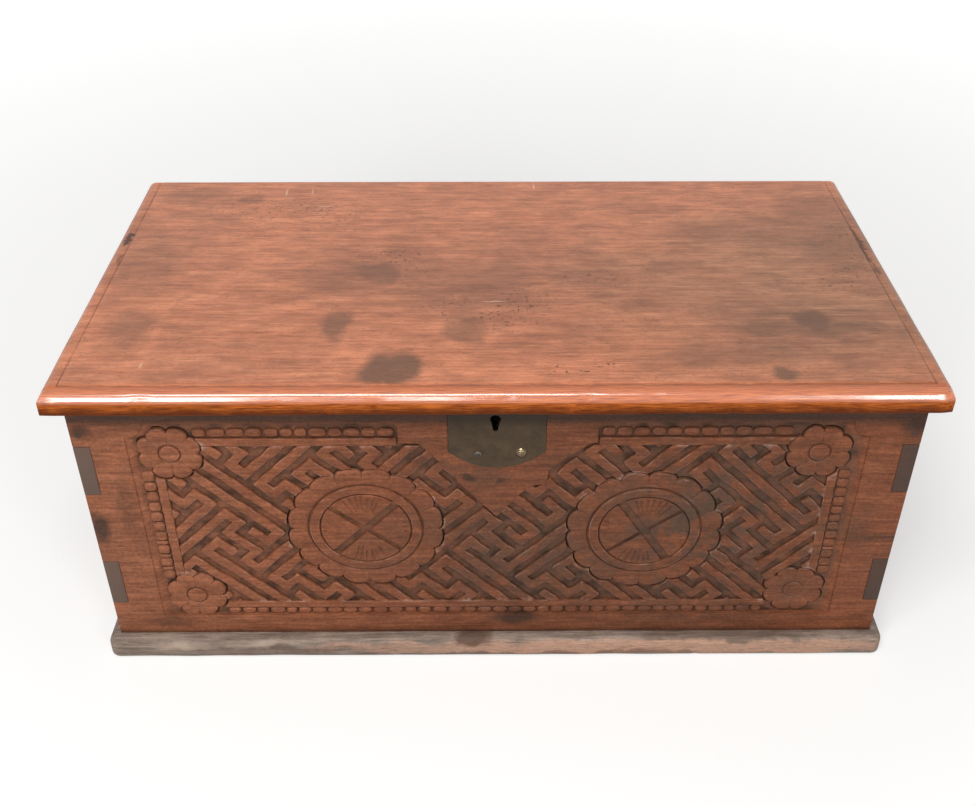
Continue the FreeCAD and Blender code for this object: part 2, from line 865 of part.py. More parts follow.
def staple_legs(clear):
    """Two upright legs of the staple as blocks, grown by a clearance."""
    legs = []
    for side in (-1, 1):
        outer = lock_mid_y + side * staple_depth / 2
        inner = outer - side * staple_leg
        low = (staple_left_x - clear, min(outer, inner) - clear, staple_low_z)
        high = (staple_left_x + staple_width + clear, max(outer, inner) + clear, rim_z + keeper_thick)
        legs.append(block(low, high))
    return legs


def keeper_staple():
    """Staple whose eye takes the bolt."""
    foot = block((staple_left_x, lock_mid_y - staple_depth / 2, staple_low_z),
                 (staple_left_x + staple_width, lock_mid_y + staple_depth / 2, eye_low_z))
    return joined(staple_legs(0) + [foot])


def keeper_plate():
    """Plate flush in the underside of the lid that carries the staple."""
    plate = block(*keeper_limits())
    cuts = staple_legs(nail_clear)
    for x, y, z in keeper_corners():
        cuts.append(clear_hole(flush_nail_shank, keeper_thick, (x, y, z), (0, 0, 1)))
        cuts.append(rod(flush_nail_head + nail_clear, flush_nail_head_height, (x, y, z), (0, 0, -1)))
    return plate.cut(cuts)


def keeper_nails():
    """Nails of the keeper plate, heads flush."""
    return group([flat_nail(flush_nail_head, flush_nail_head_height, flush_nail_shank, flush_nail_length,
                            seat, (0, 0, 1)) for seat in keeper_corners()])


def pieces():
    """Every piece of the chest by name."""
    tack, stud = plate_nail_places()
    chest = {
        "front_board": front_board(),
        "back_board": back_board(),
        "left_side_board": side_board(-1),
        "right_side_board": side_board(1),
        "base_board": base_board(),
        "base_nails": base_nails(),
        "corner_nails": corner_nails(),
        "lock_plate": lock_plate(),
        "lock_plate_tack": dome_nail(tack_head, tack_dome, *tack),
        "lock_plate_stud": dome_nail(stud_head, stud_dome, *stud),
        "lock_case": lock_case(),
        "lock_cap": lock_cap(),
        "lock_cap_rivets": lock_cap_rivets(),
        "lock_key_pin": lock_key_pin(),
        "lock_bolt": lock_bolt(),
        "lock_bolt_spring": lock_bolt_spring(),
        "lock_bolt_guides": lock_bolt_guides(),
        "lock_nails": lock_nails(),
        "hinge_leaf_nails": hinge_nails(leaf_nail_seats, (0, -1, 0)),
        "lid_board": lid_board(),
        "hinge_strap_nails": hinge_nails(strap_nail_seats, (0, 0, 1)),
        "keeper_plate": keeper_plate(),
        "keeper_staple": keeper_staple(),
        "keeper_nails": keeper_nails(),
    }
    for side, centre in hinge_centres.items():
        chest[side + "_hinge_leaf"] = hinge_leaf(centre)
        chest[side + "_hinge_strap"] = hinge_strap(centre)
        chest[side + "_hinge_pin"] = hinge_pin(centre)
    return chest


os.makedirs("parts", exist_ok=True)
for name, shape in pieces().items():
    shape.exportStep("parts/" + name + ".step")
    box = shape.BoundBox
    print(name, len(shape.Solids), "solids", shape.isValid(), round(shape.Volume, 1),
          [round(v, 2) for v in (box.XMin, box.YMin, box.ZMin, box.XMax, box.YMax, box.ZMax)])
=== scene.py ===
# %% [markdown]
# # A carved teak chest
# This chest is a finger-jointed teak box on a base plank, with a hinged lid, a sunk lock and a front
# carved with a key fret, two medallions and a border of beads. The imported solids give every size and
# place, so the lesson starts by loading them, and each new piece is set out from their corners.

# %% Load the chest's solids
import math
import random

import bpy
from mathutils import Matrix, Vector, noise


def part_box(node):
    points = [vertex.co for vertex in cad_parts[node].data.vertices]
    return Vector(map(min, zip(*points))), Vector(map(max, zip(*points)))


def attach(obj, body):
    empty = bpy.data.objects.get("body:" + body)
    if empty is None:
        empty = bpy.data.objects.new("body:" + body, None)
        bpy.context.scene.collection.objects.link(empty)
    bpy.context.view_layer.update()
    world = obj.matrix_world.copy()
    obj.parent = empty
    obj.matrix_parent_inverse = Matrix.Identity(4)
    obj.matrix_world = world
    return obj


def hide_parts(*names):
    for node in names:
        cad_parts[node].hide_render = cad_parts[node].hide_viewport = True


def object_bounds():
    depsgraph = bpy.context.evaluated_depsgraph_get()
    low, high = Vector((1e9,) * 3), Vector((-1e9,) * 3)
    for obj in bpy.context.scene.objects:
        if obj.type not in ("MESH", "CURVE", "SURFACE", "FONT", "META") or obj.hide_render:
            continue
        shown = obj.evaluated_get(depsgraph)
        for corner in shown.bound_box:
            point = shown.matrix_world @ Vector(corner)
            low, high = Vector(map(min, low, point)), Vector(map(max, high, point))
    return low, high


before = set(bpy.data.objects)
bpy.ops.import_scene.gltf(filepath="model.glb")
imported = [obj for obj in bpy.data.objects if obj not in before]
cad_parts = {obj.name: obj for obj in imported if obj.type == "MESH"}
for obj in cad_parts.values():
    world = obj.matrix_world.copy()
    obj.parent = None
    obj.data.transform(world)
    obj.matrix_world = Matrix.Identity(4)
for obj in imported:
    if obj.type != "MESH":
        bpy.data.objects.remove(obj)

cad_low, cad_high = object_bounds()
MM = 0.001
print("chest measures", [round(v, 3) for v in cad_high - cad_low], "metres")

# %% [markdown]
# ## Camera
# The camera stands where the photographer stood: in front of the chest, a little over a metre away
# and looking down on the lid at 34 degrees. A small downward shift of the lens puts the chest in the
# middle of the frame without tilting the view further.

# %% Camera at the photographer's place
camera_place = (-13.2 * MM, -1022.1 * MM, 967.2 * MM)
camera_pitch = math.radians(34.0)
camera_yaw = math.radians(0.295)


def start_clean():
    """Leave edit mode and let go of everything, so that an operator acts only on what comes next."""
    if bpy.context.object and bpy.context.object.mode != "OBJECT":
        bpy.ops.object.mode_set(mode="OBJECT")
    bpy.ops.object.select_all(action="DESELECT")


start_clean()
bpy.ops.object.camera_add(location=camera_place, rotation=(math.pi / 2 - camera_pitch, 0, -camera_yaw))
camera = bpy.context.object
camera.data.lens = 41.97
camera.data.sensor_width = 36
camera.data.shift_y = -0.0709
bpy.context.scene.camera = camera
bpy.context.scene.view_settings.view_transform = "Standard"
print("camera", round((camera.location - Vector((0, 0, 0.2))).length, 2), "metres from the chest")

# %% [markdown]
# ## Nodes
# Every finish below is a small tree of nodes. One function adds a node, sets its options, fills its
# inputs with values or with links from other nodes, and gives back one output. Colours are written as
# sRGB hex codes, as they look on a screen, and one function turns them into the linear values of light.

# %% Adding a node and reading a colour


def linear(code):
    """Turn an sRGB hex colour into linear red, green, blue and alpha."""
    channels = [int(code[i:i + 2], 16) / 255 for i in (1, 3, 5)]
    return [c / 12.92 if c <= 0.04045 else ((c + 0.055) / 1.055) ** 2.4 for c in channels] + [1.0]


def add_node(tree, kind, inputs=None, out=0, stops=None, **options):
    """Add a node with its options, inputs and ramp stops, and give back one of its outputs."""
    made = tree.nodes.new("ShaderNode" + kind)
    for name, value in options.items():
        setattr(made, name, value)
    for name, value in (inputs or {}).items():
        if isinstance(value, bpy.types.NodeSocket):
            tree.links.new(value, made.inputs[name])
        else:
            made.inputs[name].default_value = value
    for number, (place, code) in enumerate(stops or []):
        ramp = made.color_ramp.elements
        stop = ramp[number] if number < 2 else ramp.new(place)
        stop.position = place
        stop.color = linear(code)
    return made.outputs[out]


def new_finish(name):
    """A material with its tree, its shader's inputs and the piece's own coordinates in metres."""
    finish = bpy.data.materials.new(name)
    finish.use_nodes = True
    tree = finish.node_tree
    shader = tree.nodes["Principled BSDF"].inputs
    place = add_node(tree, "TexCoord", out="Object")
    return finish, tree, shader, place


print("mid grey on a screen is", round(linear("#808080")[0], 3), "as light")

# %% [markdown]
# ## Light and floor
# The polished lid shows a hard white line along its rounded front edge, strongest at the left, and the
# front lies in softer light with a dark band under the lid. One large lamp high in front and three
# small windows behind the camera give that light, and the band under the lid is deepened by painted
# shade in the front's finish. The floor is matt and pale. The camera and mirror rays see it a little
# brighter than it is lit, and more so far from the lamps, which turns the open floor white and keeps
# the shadow.

# %% Lamps


def add_lamp(name, place, size, energy):
    """An area lamp that faces the chest."""
    start_clean()
    bpy.ops.object.light_add(type="AREA", location=place)
    lamp = bpy.context.object
    lamp.name = name
    lamp.rotation_euler = (Vector((0, 0, 0.25)) - lamp.location).to_track_quat("-Z", "Y").to_euler()
    lamp.data.shape = "RECTANGLE"
    lamp.data.size, lamp.data.size_y = size
    lamp.data.energy = energy
    return lamp


lamps = [add_lamp("high_lamp", (-0.35, -1.25, 2.45), (1.5, 0.7), 42),
         add_lamp("left_window", (-1.05, -2.5, 1.35), (0.65, 0.6), 20),
         add_lamp("middle_window", (-0.2, -2.5, 1.4), (0.25, 0.4), 4.5),
         add_lamp("right_window", (1.4, -2.5, 1.35), (0.6, 0.6), 15)]
print("lamps", [lamp.name for lamp in lamps])

# %% World and floor
world = bpy.data.worlds.new("white_room")
bpy.context.scene.world = world
world.use_nodes = True
sky = world.node_tree.nodes["Background"].inputs


def seen_rays(tree):
    """One for rays from the camera, from a mirror or through glass, and nothing for light that bounces."""
    rays = [add_node(tree, "LightPath", out=name) for name in
            ("Is Camera Ray", "Is Glossy Ray", "Is Transmission Ray")]
    mirrored = add_node(tree, "Math", {0: rays[1], 1: rays[2]}, operation="MAXIMUM")
    return add_node(tree, "Math", {0: rays[0], 1: mirrored}, operation="MAXIMUM")


level = add_node(world.node_tree, "MapRange", {0: seen_rays(world.node_tree), 3: 0.25, 4: 1.0})
sky["Color"].default_value = linear("#ffffff")
world.node_tree.links.new(level, sky["Strength"])

floor_drop = 0.2 * MM
start_clean()
bpy.ops.mesh.primitive_plane_add(size=14, location=(0, 0, cad_low.z - floor_drop))
floor = bpy.context.object
floor.name = "pale_floor"
floor_finish, tree, shader, place = new_finish("matt_pale_floor")
shader["Base Color"].default_value = linear("#cbcac8")
shader["Roughness"].default_value = 0.9
shader["Specular IOR Level"].default_value = 0.0
shader["Emission Color"].default_value = linear("#ffffff")
distance = add_node(tree, "VectorMath", {0: place}, "Value", operation="LENGTH")
lift = add_node(tree, "MapRange", {0: distance, 1: 0.5, 2: 2.2, 3: 0.42, 4: 0.8})
lift = add_node(tree, "Math", {0: seen_rays(tree), 1: lift}, operation="MULTIPLY")
tree.links.new(lift, shader["Emission Strength"])
floor.data.materials.append(floor_finish)
print("floor lies", floor_drop / MM, "mm under the base")

# %% [markdown]
# ## Teak
# All the boards are old teak: long straight grain, thin growth lines, short dark pores, hair cracks and
# broad changes of tone. The grain runs along each board, so one function builds it from noise that is
# stretched along the board at real sizes. The growth lines are contour lines of a slow noise, which
# gives the long ovals and arches that a plank shows. The finishes below set tones, polish and dirt.

# %% Grain of the teak
grain_sizes = {"bands": (330, 15, 5), "lines": (90, 3.2, 4), "fibres": (26, 1.4, 3), "pores": (12, 1.5, 2),
               "checks": (48, 1.2, 2), "patches": (170, 60, 5), "rings": (620, 75, 1)}


def teak_grain(tree, place, along, tones, ring_depth=0.35):
    """Colour and height of bare teak whose grain runs along one axis."""
    noises = {}
    for name, (length, width, detail) in grain_sizes.items():
        scale = [1 / (width * MM)] * 3
        scale[along] = 1 / (length * MM)
        stretched = add_node(tree, "Mapping", {"Vector": place, "Scale": scale})
        noises[name] = add_node(tree, "TexNoise", {"Vector": stretched, "Detail": detail, "Roughness": 0.6,
                                                   "Distortion": 0.5 if name == "bands" else 0.0})
    streaks = add_node(tree, "Mix", {0: 0.5, 2: noises["lines"], 3: noises["fibres"]})
    figure = add_node(tree, "Mix", {0: 0.5, 2: noises["bands"], 3: streaks})
    dark, middle, light = tones
    colour = add_node(tree, "ValToRGB", {0: figure}, stops=[(0.36, dark), (0.64, light), (0.5, middle)])
    shade = add_node(tree, "MapRange", {0: noises["patches"], 1: 0.32, 2: 0.68, 3: 0.74, 4: 1.2})
    colour = add_node(tree, "Mix", {0: 1.0, 6: colour, 7: shade}, 2, data_type="RGBA", blend_type="MULTIPLY")
    fold = add_node(tree, "Math", {0: noises["rings"], 1: 0.022}, operation="PINGPONG")
    rings = add_node(tree, "MapRange", {0: fold, 1: 0.0, 2: 0.005, 3: ring_depth, 4: 0.0})
    rings = add_node(tree, "Math", {0: rings, 1: noises["lines"]}, operation="MULTIPLY")
    pits = add_node(tree, "MapRange", {0: noises["pores"], 1: 0.6, 2: 0.68, 3: 0.0, 4: 0.55})
    cracks = add_node(tree, "MapRange", {0: noises["checks"], 1: 0.66, 2: 0.72, 3: 0.0, 4: 0.6})
    dents = add_node(tree, "Math", {0: rings, 1: pits}, operation="MAXIMUM")
    dents = add_node(tree, "Math", {0: dents, 1: cracks}, operation="MAXIMUM")
    colour = add_node(tree, "Mix", {0: dents, 6: colour, 7: linear("#3c2116")}, 2, data_type="RGBA")
    height = add_node(tree, "Math", {0: noises["lines"], 1: dents}, operation="SUBTRACT")
    return colour, height


print("grain", ", ".join(name + " " + str(size[1]) + " mm" for name, size in grain_sizes.items()))

# %% [markdown]
# Soot, stains and rubbed spots lie in known places. A mark is written as its middle, its reach on each
# axis and its strength. It fades out from the middle to the reach, and the coordinates are first
# shifted by noise, so that no mark ends in a clean oval.

# %% Marks in their places


def spot(tree, place, centre, reach):
    """One at a place, falling to nothing at a reach on each axis; a reach of 0 leaves that axis out."""
    scale = [1 / (r * MM) if r else 0 for r in reach]
    shift = [-c * MM * s for c, s in zip(centre, scale)]
    moved = add_node(tree, "Mapping", {"Vector": place, "Location": shift, "Scale": scale})
    return add_node(tree, "TexGradient", {0: moved}, "Fac", gradient_type="SPHERICAL")


def wandering(tree, place, scale, amount):
    """The piece's coordinates shifted by noise, so that what is placed by them has a natural edge."""
    cloud = add_node(tree, "TexNoise", {"Vector": place, "Scale": scale, "Detail": 4}, "Color")
    drift = add_node(tree, "VectorMath", {0: cloud, 1: (0.5, 0.5, 0.5)}, operation="SUBTRACT")
    drift = add_node(tree, "VectorMath", {0: drift, "Scale": amount}, operation="SCALE")
    return add_node(tree, "VectorMath", {0: place, 1: drift}, operation="ADD")


def marks(tree, place, places, edge):
    """The strongest of several spots at each point, with an edge that is soft or hard."""
    strongest = None
    for centre, reach, strength in places:
        mark = spot(tree, place, centre, reach)
        mark = add_node(tree, "MapRange", {0: mark, 1: 0.0, 2: edge, 3: 0.0, 4: strength})
        if strongest is not None:
            mark = add_node(tree, "Math", {0: strongest, 1: mark}, operation="MAXIMUM")
        strongest = mark
    return strongest


print("marks ready")

# %% [markdown]
# ### Waxed carved teak
# The front is waxed and has never been stripped: the standing parts are rubbed to a warm brown, shiny
# on their edges, and a century of dust and wax has darkened the sunk ground. The left end of the board
# has kept its red and the middle and right have gone browner. A band under the lid is painted dark, as
# the shade of the lid's overhang with some dust in it, and a line along the base is a painted shadow.

# %% Where the front is dirty, and where shade is painted
front_low, front_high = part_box("front_board")
carve_depth = 4 * MM
set_in = 1.2 * MM
front_marks = [
    ((22, 0, 47), (34, 0, 14), 0.75), ((-394, 0, 176), (17, 0, 26), 0.8), ((-388, 0, 300), (14, 0, 12), 0.7),
    ((392, 0, 305), (18, 0, 20), 0.8), ((-26, 0, 240), (9, 0, 6), 0.7), ((6, 0, 236), (7, 0, 5), 0.6),
    ((-345, 0, 40), (40, 0, 12), 0.4), ((250, 0, 44), (80, 0, 10), 0.2), ((-70, 0, 262), (26, 0, 12), 0.35),
    ((60, 0, 262), (30, 0, 14), 0.3), ((385, 0, 160), (30, 0, 8), 0.45), ((-360, 0, 200), (12, 0, 60), 0.25),
]
grimy_places = [((40, 0, 130), (190, 0, 110), 0.6), ((215, 0, 165), (190, 0, 150), 0.85),
                ((-30, 0, 262), (120, 0, 40), 0.4), ((310, 0, 190), (60, 0, 90), 0.4)]
# painted shade inside the keyhole
keyhole_shade_places = [((0, 0, 303), (16, 0, 22), 1.0)]
# painted shade of the lid's overhang, with some dust in it, from this height up
shade_and_dust_from = 303 * MM
shade_and_dust_full = 312 * MM
print(len(front_marks), "dark marks and", len(grimy_places), "grimy places")

# %% Wood of the front


def smoked_front(tree, place):
    """Red-to-brown wood with grime and mottling, painted shade under the lid and a painted shadow by the
    base.
    """
    colour, height = teak_grain(tree, place, 0, ("#70412b", "#8e563b", "#a76c4e"))
    loose = wandering(tree, place, 9, 0.16)
    side = add_node(tree, "SeparateXYZ", {0: loose}, "X")
    side = add_node(tree, "MapRange", {0: side, 1: -0.4, 2: 0.4})
    patina = add_node(tree, "ValToRGB", {0: side}, stops=[
        (0.04, "#ffffff"), (0.95, "#e6dcd2"), (0.26, "#f4efea"), (0.44, "#d9d3cd"), (0.6, "#d2cdc8"),
        (0.84, "#d2cdc7")])
    colour = add_node(tree, "Mix", {0: 1.0, 6: colour, 7: patina}, 2, data_type="RGBA", blend_type="MULTIPLY")
    clouds = add_node(tree, "TexNoise", {"Vector": place, "Scale": 34, "Detail": 4, "Roughness": 0.65})
    clouds = add_node(tree, "MapRange", {0: clouds, 1: 0.42, 2: 0.56})
    grime = marks(tree, loose, grimy_places, 0.8)
    grime = add_node(tree, "Math", {0: grime, 1: clouds}, operation="MULTIPLY")
    colour = add_node(tree, "Mix", {0: grime, 6: colour, 7: linear("#4e3c30")}, 2, data_type="RGBA")
    smudge_and_shade = marks(tree, wandering(tree, place, 45, 0.02), front_marks, 0.6)
    level = add_node(tree, "SeparateXYZ", {0: wandering(tree, place, 60, 0.004)}, "Z")
    # painted shade under the lid, with some dust in it
    shade_under_lid = add_node(tree, "MapRange", {0: level, 1: shade_and_dust_from, 2: shade_and_dust_full, 3: 0.0, 4: 0.8})
    # painted shadow where the board meets the base
    shadow_along_base = add_node(tree, "MapRange", {0: level, 1: front_low.z + 7 * MM, 2: front_low.z + 1 * MM,
                                          3: 0.0, 4: 0.6})
    # the darker of the painted shade under the lid and the painted shadow along the base
    darkening = add_node(tree, "Math", {0: shade_under_lid, 1: shadow_along_base}, operation="MAXIMUM")
    smudge_and_shade = add_node(tree, "Math", {0: smudge_and_shade, 1: darkening}, operation="MAXIMUM")
    colour = add_node(tree, "Mix", {0: smudge_and_shade, 6: colour, 7: linear("#2a201a")}, 2, data_type="RGBA")
    mottle = add_node(tree, "TexNoise", {"Vector": place, "Scale": 300, "Detail": 3, "Roughness": 0.7})
    mottle = add_node(tree, "MapRange", {0: mottle, 1: 0.3, 2: 0.7, 3: 0.78, 4: 1.22})
    colour = add_node(tree, "Mix", {0: 1.0, 6: colour, 7: mottle}, 2, data_type="RGBA", blend_type="MULTIPLY")
    return colour, height


print("soot starts", round((front_high.z - shade_and_dust_from) / MM), "mm under the board's upper edge")

# %% [markdown]
# The depth of a point behind the board's face, which is its Y, tells the finish how much dirt to lay:
# brown in the sunk ground, and nearly black in the outlines that are cut deeper still. Inside the keyhole
# the wood is painted nearly black as its shade. The ends and the upper edge of the board lie as deep, so
# they are left out by their place.

# %% Dirt in the carving, and painted shade in the keyhole
field_reach = front_high.x - 45 * MM


def carving_dirt_and_shade(tree, place, colour):
    """The front's colour with dirt in everything that lies behind its face, and painted shade in the keyhole.
    """
    depth = add_node(tree, "SeparateXYZ", {0: place}, "Y")
    depth = add_node(tree, "MapRange", {0: depth, 1: front_low.y, 2: front_low.y + carve_depth})
    smut = add_node(tree, "TexNoise", {"Vector": place, "Scale": 70, "Detail": 4})
    soil = add_node(tree, "ValToRGB", {0: smut}, stops=[(0.36, "#604a3d"), (0.66, "#38291f")])
    smut = add_node(tree, "MapRange", {0: smut, 1: 0.3, 2: 0.65, 3: 0.25, 4: 0.85})
    sunk_in = add_node(tree, "MapRange", {0: depth, 1: 0.3, 2: 0.95})
    dirt = add_node(tree, "Math", {0: sunk_in, 1: smut}, operation="MULTIPLY")
    colour = add_node(tree, "Mix", {0: dirt, 6: colour, 7: soil}, 2, data_type="RGBA")
    back = add_node(tree, "SeparateXYZ", {0: place}, "Y")
    ground_y = front_low.y + carve_depth
    cut = add_node(tree, "MapRange", {0: back, 1: ground_y + 0.1 * MM, 2: ground_y + set_in / 2,
                                      3: 0.0, 4: 0.85})
    across = add_node(tree, "SeparateXYZ", {0: place}, "X")
    across = add_node(tree, "Math", {0: across, 1: 0.0}, operation="ABSOLUTE")
    level = add_node(tree, "SeparateXYZ", {0: place}, "Z")
    for value, limit in ((back, ground_y + 2 * set_in), (across, field_reach), (level, shade_and_dust_full)):
        within = add_node(tree, "Math", {0: value, 1: limit}, operation="LESS_THAN")
        cut = add_node(tree, "Math", {0: cut, 1: within}, operation="MULTIPLY")
    colour = add_node(tree, "Mix", {0: cut, 6: colour, 7: linear("#21160f")}, 2, data_type="RGBA")
    # painted shade on the keyhole's inner faces, behind the plate
    behind = add_node(tree, "Math", {0: back, 1: front_low.y + 1.5 * MM}, operation="GREATER_THAN")
    keyhole_shade = marks(tree, place, keyhole_shade_places, 0.3)
    keyhole_shade = add_node(tree, "Math", {0: behind, 1: keyhole_shade}, operation="MULTIPLY")
    return add_node(tree, "Mix", {0: keyhole_shade, 6: colour, 7: linear("#0d0907")}, 2, data_type="RGBA")


print("the deepest dirt lies", round((carve_depth + set_in) / MM, 1), "mm behind the face")

# %% [markdown]
# An attribute that the carving gets later tells the finish where hands have rubbed. There the wax is
# polished to a gloss, which a coat on the shader gives, and the wood is painted paler, partly as worn
# wood and partly as a painted highlight on the edges. Chisel marks and the grain together make the bump.

# %% Finish of the carved front


def carved_teak():
    finish, tree, shader, place = new_finish("waxed_carved_teak")
    colour, height = smoked_front(tree, place)
    rubbed = add_node(tree, "Attribute", out="Fac", attribute_name="rubbed")
    bright = add_node(tree, "TexNoise", {"Vector": place, "Scale": 80, "Detail": 3})
    bright = add_node(tree, "MapRange", {0: bright, 1: 0.45, 2: 0.63})
    rubbed = add_node(tree, "Math", {0: rubbed, 1: bright}, operation="MULTIPLY")
    # paler where rubbed: partly worn wood, partly a painted highlight on the edges
    pale_wear_and_highlight = add_node(tree, "Math", {0: rubbed, 1: 0.22}, operation="MULTIPLY")
    colour = add_node(tree, "Mix", {0: pale_wear_and_highlight, 6: colour, 7: linear("#c08a66")}, 2, data_type="RGBA")
    tree.links.new(carving_dirt_and_shade(tree, place, colour), shader["Base Color"])
    tree.links.new(add_node(tree, "MapRange", {0: rubbed, 3: 0.48, 4: 0.24}), shader["Roughness"])
    tree.links.new(add_node(tree, "MapRange", {0: rubbed, 3: 0.18, 4: 1.0}), shader["Specular IOR Level"])
    tree.links.new(rubbed, shader["Coat Weight"])
    shader["Coat Roughness"].default_value = 0.12
    shader["Coat IOR"].default_value = 1.65
    chisel = add_node(tree, "TexNoise", {"Vector": place, "Scale": 260, "Detail": 2})
    height = add_node(tree, "Math", {0: chisel, 1: 1.2, 2: height}, operation="MULTIPLY_ADD")
    bump = add_node(tree, "Bump", {"Height": height, "Distance": 0.6 * MM, "Strength": 0.6})
    tree.links.new(bump, shader["Normal"])
    return finish


carved_finish = carved_teak()
print(carved_finish.name, len(carved_finish.node_tree.nodes), "nodes")

# %% [markdown]
# ### Scribed line
# The carver's scribed line is full of old wax and soot. It is the same dark stuff everywhere, with a
# little grey dust in it, so a noise between two dark browns is all that it needs.

# %% Finish of the scribed line
line_finish, tree, shader, place = new_finish("wax_in_scribed_line")
speck = add_node(tree, "TexNoise", {"Vector": place, "Scale": 160, "Detail": 3})
colour = add_node(tree, "ValToRGB", {0: speck}, stops=[(0.35, "#1f130d"), (0.7, "#402a1e")])
tree.links.new(colour, shader["Base Color"])
shader["Roughness"].default_value = 0.7
shader["Specular IOR Level"].default_value = 0.1
print(line_finish.name)

# %% [markdown]
# ### Plain teak
# The ends and the back are flat boards with the same wax and no carving. Where the fingers of an end
# board come through the front, the cut ends of the grain have drunk up dirt and look nearly black,
# more so at the right.

# %% Finish of the plain boards


def plain_teak(name, along):
    finish, tree, shader, place = new_finish(name)
    colour, height = teak_grain(tree, place, along, ("#63341f", "#85492f", "#a06446"))
    axis = add_node(tree, "SeparateXYZ", {0: place}, along)
    far = add_node(tree, "Math", {0: axis, 1: 0.0}, operation="ABSOLUTE")
    reach = front_high.x if along == 0 else -front_low.y
    end_grain = add_node(tree, "MapRange", {0: far, 1: reach - 1.2 * MM, 2: reach - 0.2 * MM, 3: 0.0, 4: 0.9})
    side = add_node(tree, "SeparateXYZ", {0: place}, "X")
    side = add_node(tree, "MapRange", {0: side, 1: -0.3, 2: 0.3})
    darkening = add_node(tree, "Mix", {0: side, 6: linear("#5d4d43"), 7: linear("#3f3129")}, 2, data_type="RGBA")
    colour = add_node(tree, "Mix", {0: end_grain, 6: colour, 7: darkening}, 2, data_type="RGBA")
    tree.links.new(colour, shader["Base Color"])
    shader["Roughness"].default_value = 0.46
    shader["Specular IOR Level"].default_value = 0.25
    bump = add_node(tree, "Bump", {"Height": height, "Distance": 0.4 * MM, "Strength": 0.6})
    tree.links.new(bump, shader["Normal"])
    return finish


back_finish = plain_teak("waxed_teak_back", 0)
end_finish = plain_teak("waxed_teak_ends", 1)
print(back_finish.name, end_finish.name)

# %% [markdown]
# ## Boards of the box
# Front, back and ends are slabs that interlock at the corners. A cube is set out between two corners
# of the solid, the gaps for the neighbour's fingers are cut with a Boolean, and a narrow bevel breaks
# the edges as years of handling do, which is also what makes the joints show.

# %% Blocks, modifiers and cutters


def add_block(name, low, high):
    """A cube set out between two opposite corners, with its place in the mesh."""
    start_clean()
    low, high = Vector(low), Vector(high)
    bpy.ops.mesh.primitive_cube_add(size=1, location=(low + high) / 2, scale=high - low)
    bpy.ops.object.transform_apply(location=True, rotation=True, scale=True)
    block = bpy.context.object
    block.name = name
    return block


def take_up(piece):
    """Select one piece and make it the active one."""
    start_clean()
    piece.select_set(True)
    bpy.context.view_layer.objects.active = piece


def apply_modifier(piece, kind, **settings):
    """Add one modifier and apply it."""
    take_up(piece)
    modifier = piece.modifiers.new(kind, kind)
    for name, value in settings.items():
        setattr(modifier, name, value)
    bpy.ops.object.modifier_apply(modifier=modifier.name)


def cut_away(piece, cutters):
    """Take the cutters out of a piece with Booleans, and throw the cutters away."""
    for cutter in cutters:
        apply_modifier(piece, "BOOLEAN", operation="DIFFERENCE", object=cutter, solver="EXACT")
        bpy.data.objects.remove(cutter, do_unlink=True)


print("blocks and cutters ready")

# %% Joining, extruding and smoothing


def join_pieces(name, pieces):
    """Make one object of several."""
    take_up(pieces[0])
    for piece in pieces:
        piece.select_set(True)
    bpy.ops.object.join()
    pieces[0].name = name
    return pieces[0]


def extrude_all(way):
    """Extrude the whole of the active mesh along a vector and turn its faces outward."""
    bpy.ops.object.mode_set(mode="EDIT")
    bpy.ops.mesh.select_all(action="SELECT")
    bpy.ops.mesh.extrude_region_move(TRANSFORM_OT_translate={"value": way})
    bpy.ops.mesh.select_all(action="SELECT")
    bpy.ops.mesh.normals_make_consistent(inside=False)
    bpy.ops.object.mode_set(mode="OBJECT")


def smooth_by_angle(piece, degrees=38):
    """Shade smooth, and keep the edges that turn more than this sharp."""
    take_up(piece)
    bpy.ops.object.shade_smooth_by_angle(angle=math.radians(degrees))


def break_edges(piece, width, segments=2, degrees=40):
    """Round every sharp edge a little."""
    apply_modifier(piece, "BEVEL", width=width, segments=segments, limit_method="ANGLE",
                   angle_limit=math.radians(degrees), use_clamp_overlap=False)


print("joining and smoothing ready")

# %% Boards with their corner joints
low_finger = 46 * MM
top_finger = 52 * MM
socket_height = 60 * MM
board_thick = front_high.y - front_low.y
edge_wear = 0.8 * MM
joint_gap = 0.15 * MM
socket_spans = [(front_low.z + low_finger, front_low.z + low_finger + socket_height),
                (front_high.z - top_finger - socket_height, front_high.z - top_finger)]
finger_spans = [(front_low.z - 1 * MM, socket_spans[0][0]), (socket_spans[0][1], socket_spans[1][0]),
                (socket_spans[1][1], front_high.z + 1 * MM)]


def fingered_board(name, node, spans, along):
    """A slab the size of a solid, with the neighbours' fingers cut out of both ends."""
    low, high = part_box(node)
    board = add_block(name, low, high)
    cutters = []
    for bottom, top in spans:
        for at_start in (True, False):
            block_low = [low.x - MM, low.y - MM, bottom - joint_gap]
            block_high = [high.x + MM, high.y + MM, top + joint_gap]
            if at_start:
                block_high[along] = low[along] + board_thick + joint_gap
            else:
                block_low[along] = high[along] - board_thick - joint_gap
            cutters.append(add_block("corner_cutter", block_low, block_high))
    cut_away(board, cutters)
    break_edges(board, edge_wear)
    return board


front_board = fingered_board("carved_front_board", "front_board", socket_spans, 0)
back_board = fingered_board("waxed_back_board", "back_board", socket_spans, 0)
end_boards = [fingered_board(side + "_end_board", side + "_side_board", finger_spans, 1)
              for side in ("left", "right")]
for board in [front_board, back_board] + end_boards:
    print(board.name, len(board.data.polygons), "faces")

# %% [markdown]
# ## The sunk field
# The carver first scribed the outline of the field, then took the ground down four millimetres inside
# it, on a slope at both ends. The outline has scooped upper corners, and in the middle it goes round
# the lock plate and runs down to a point. A circle primitive has exactly one vertex for each corner
# that is needed, so its vertices are moved to the outline and the face is extruded into a cutter.

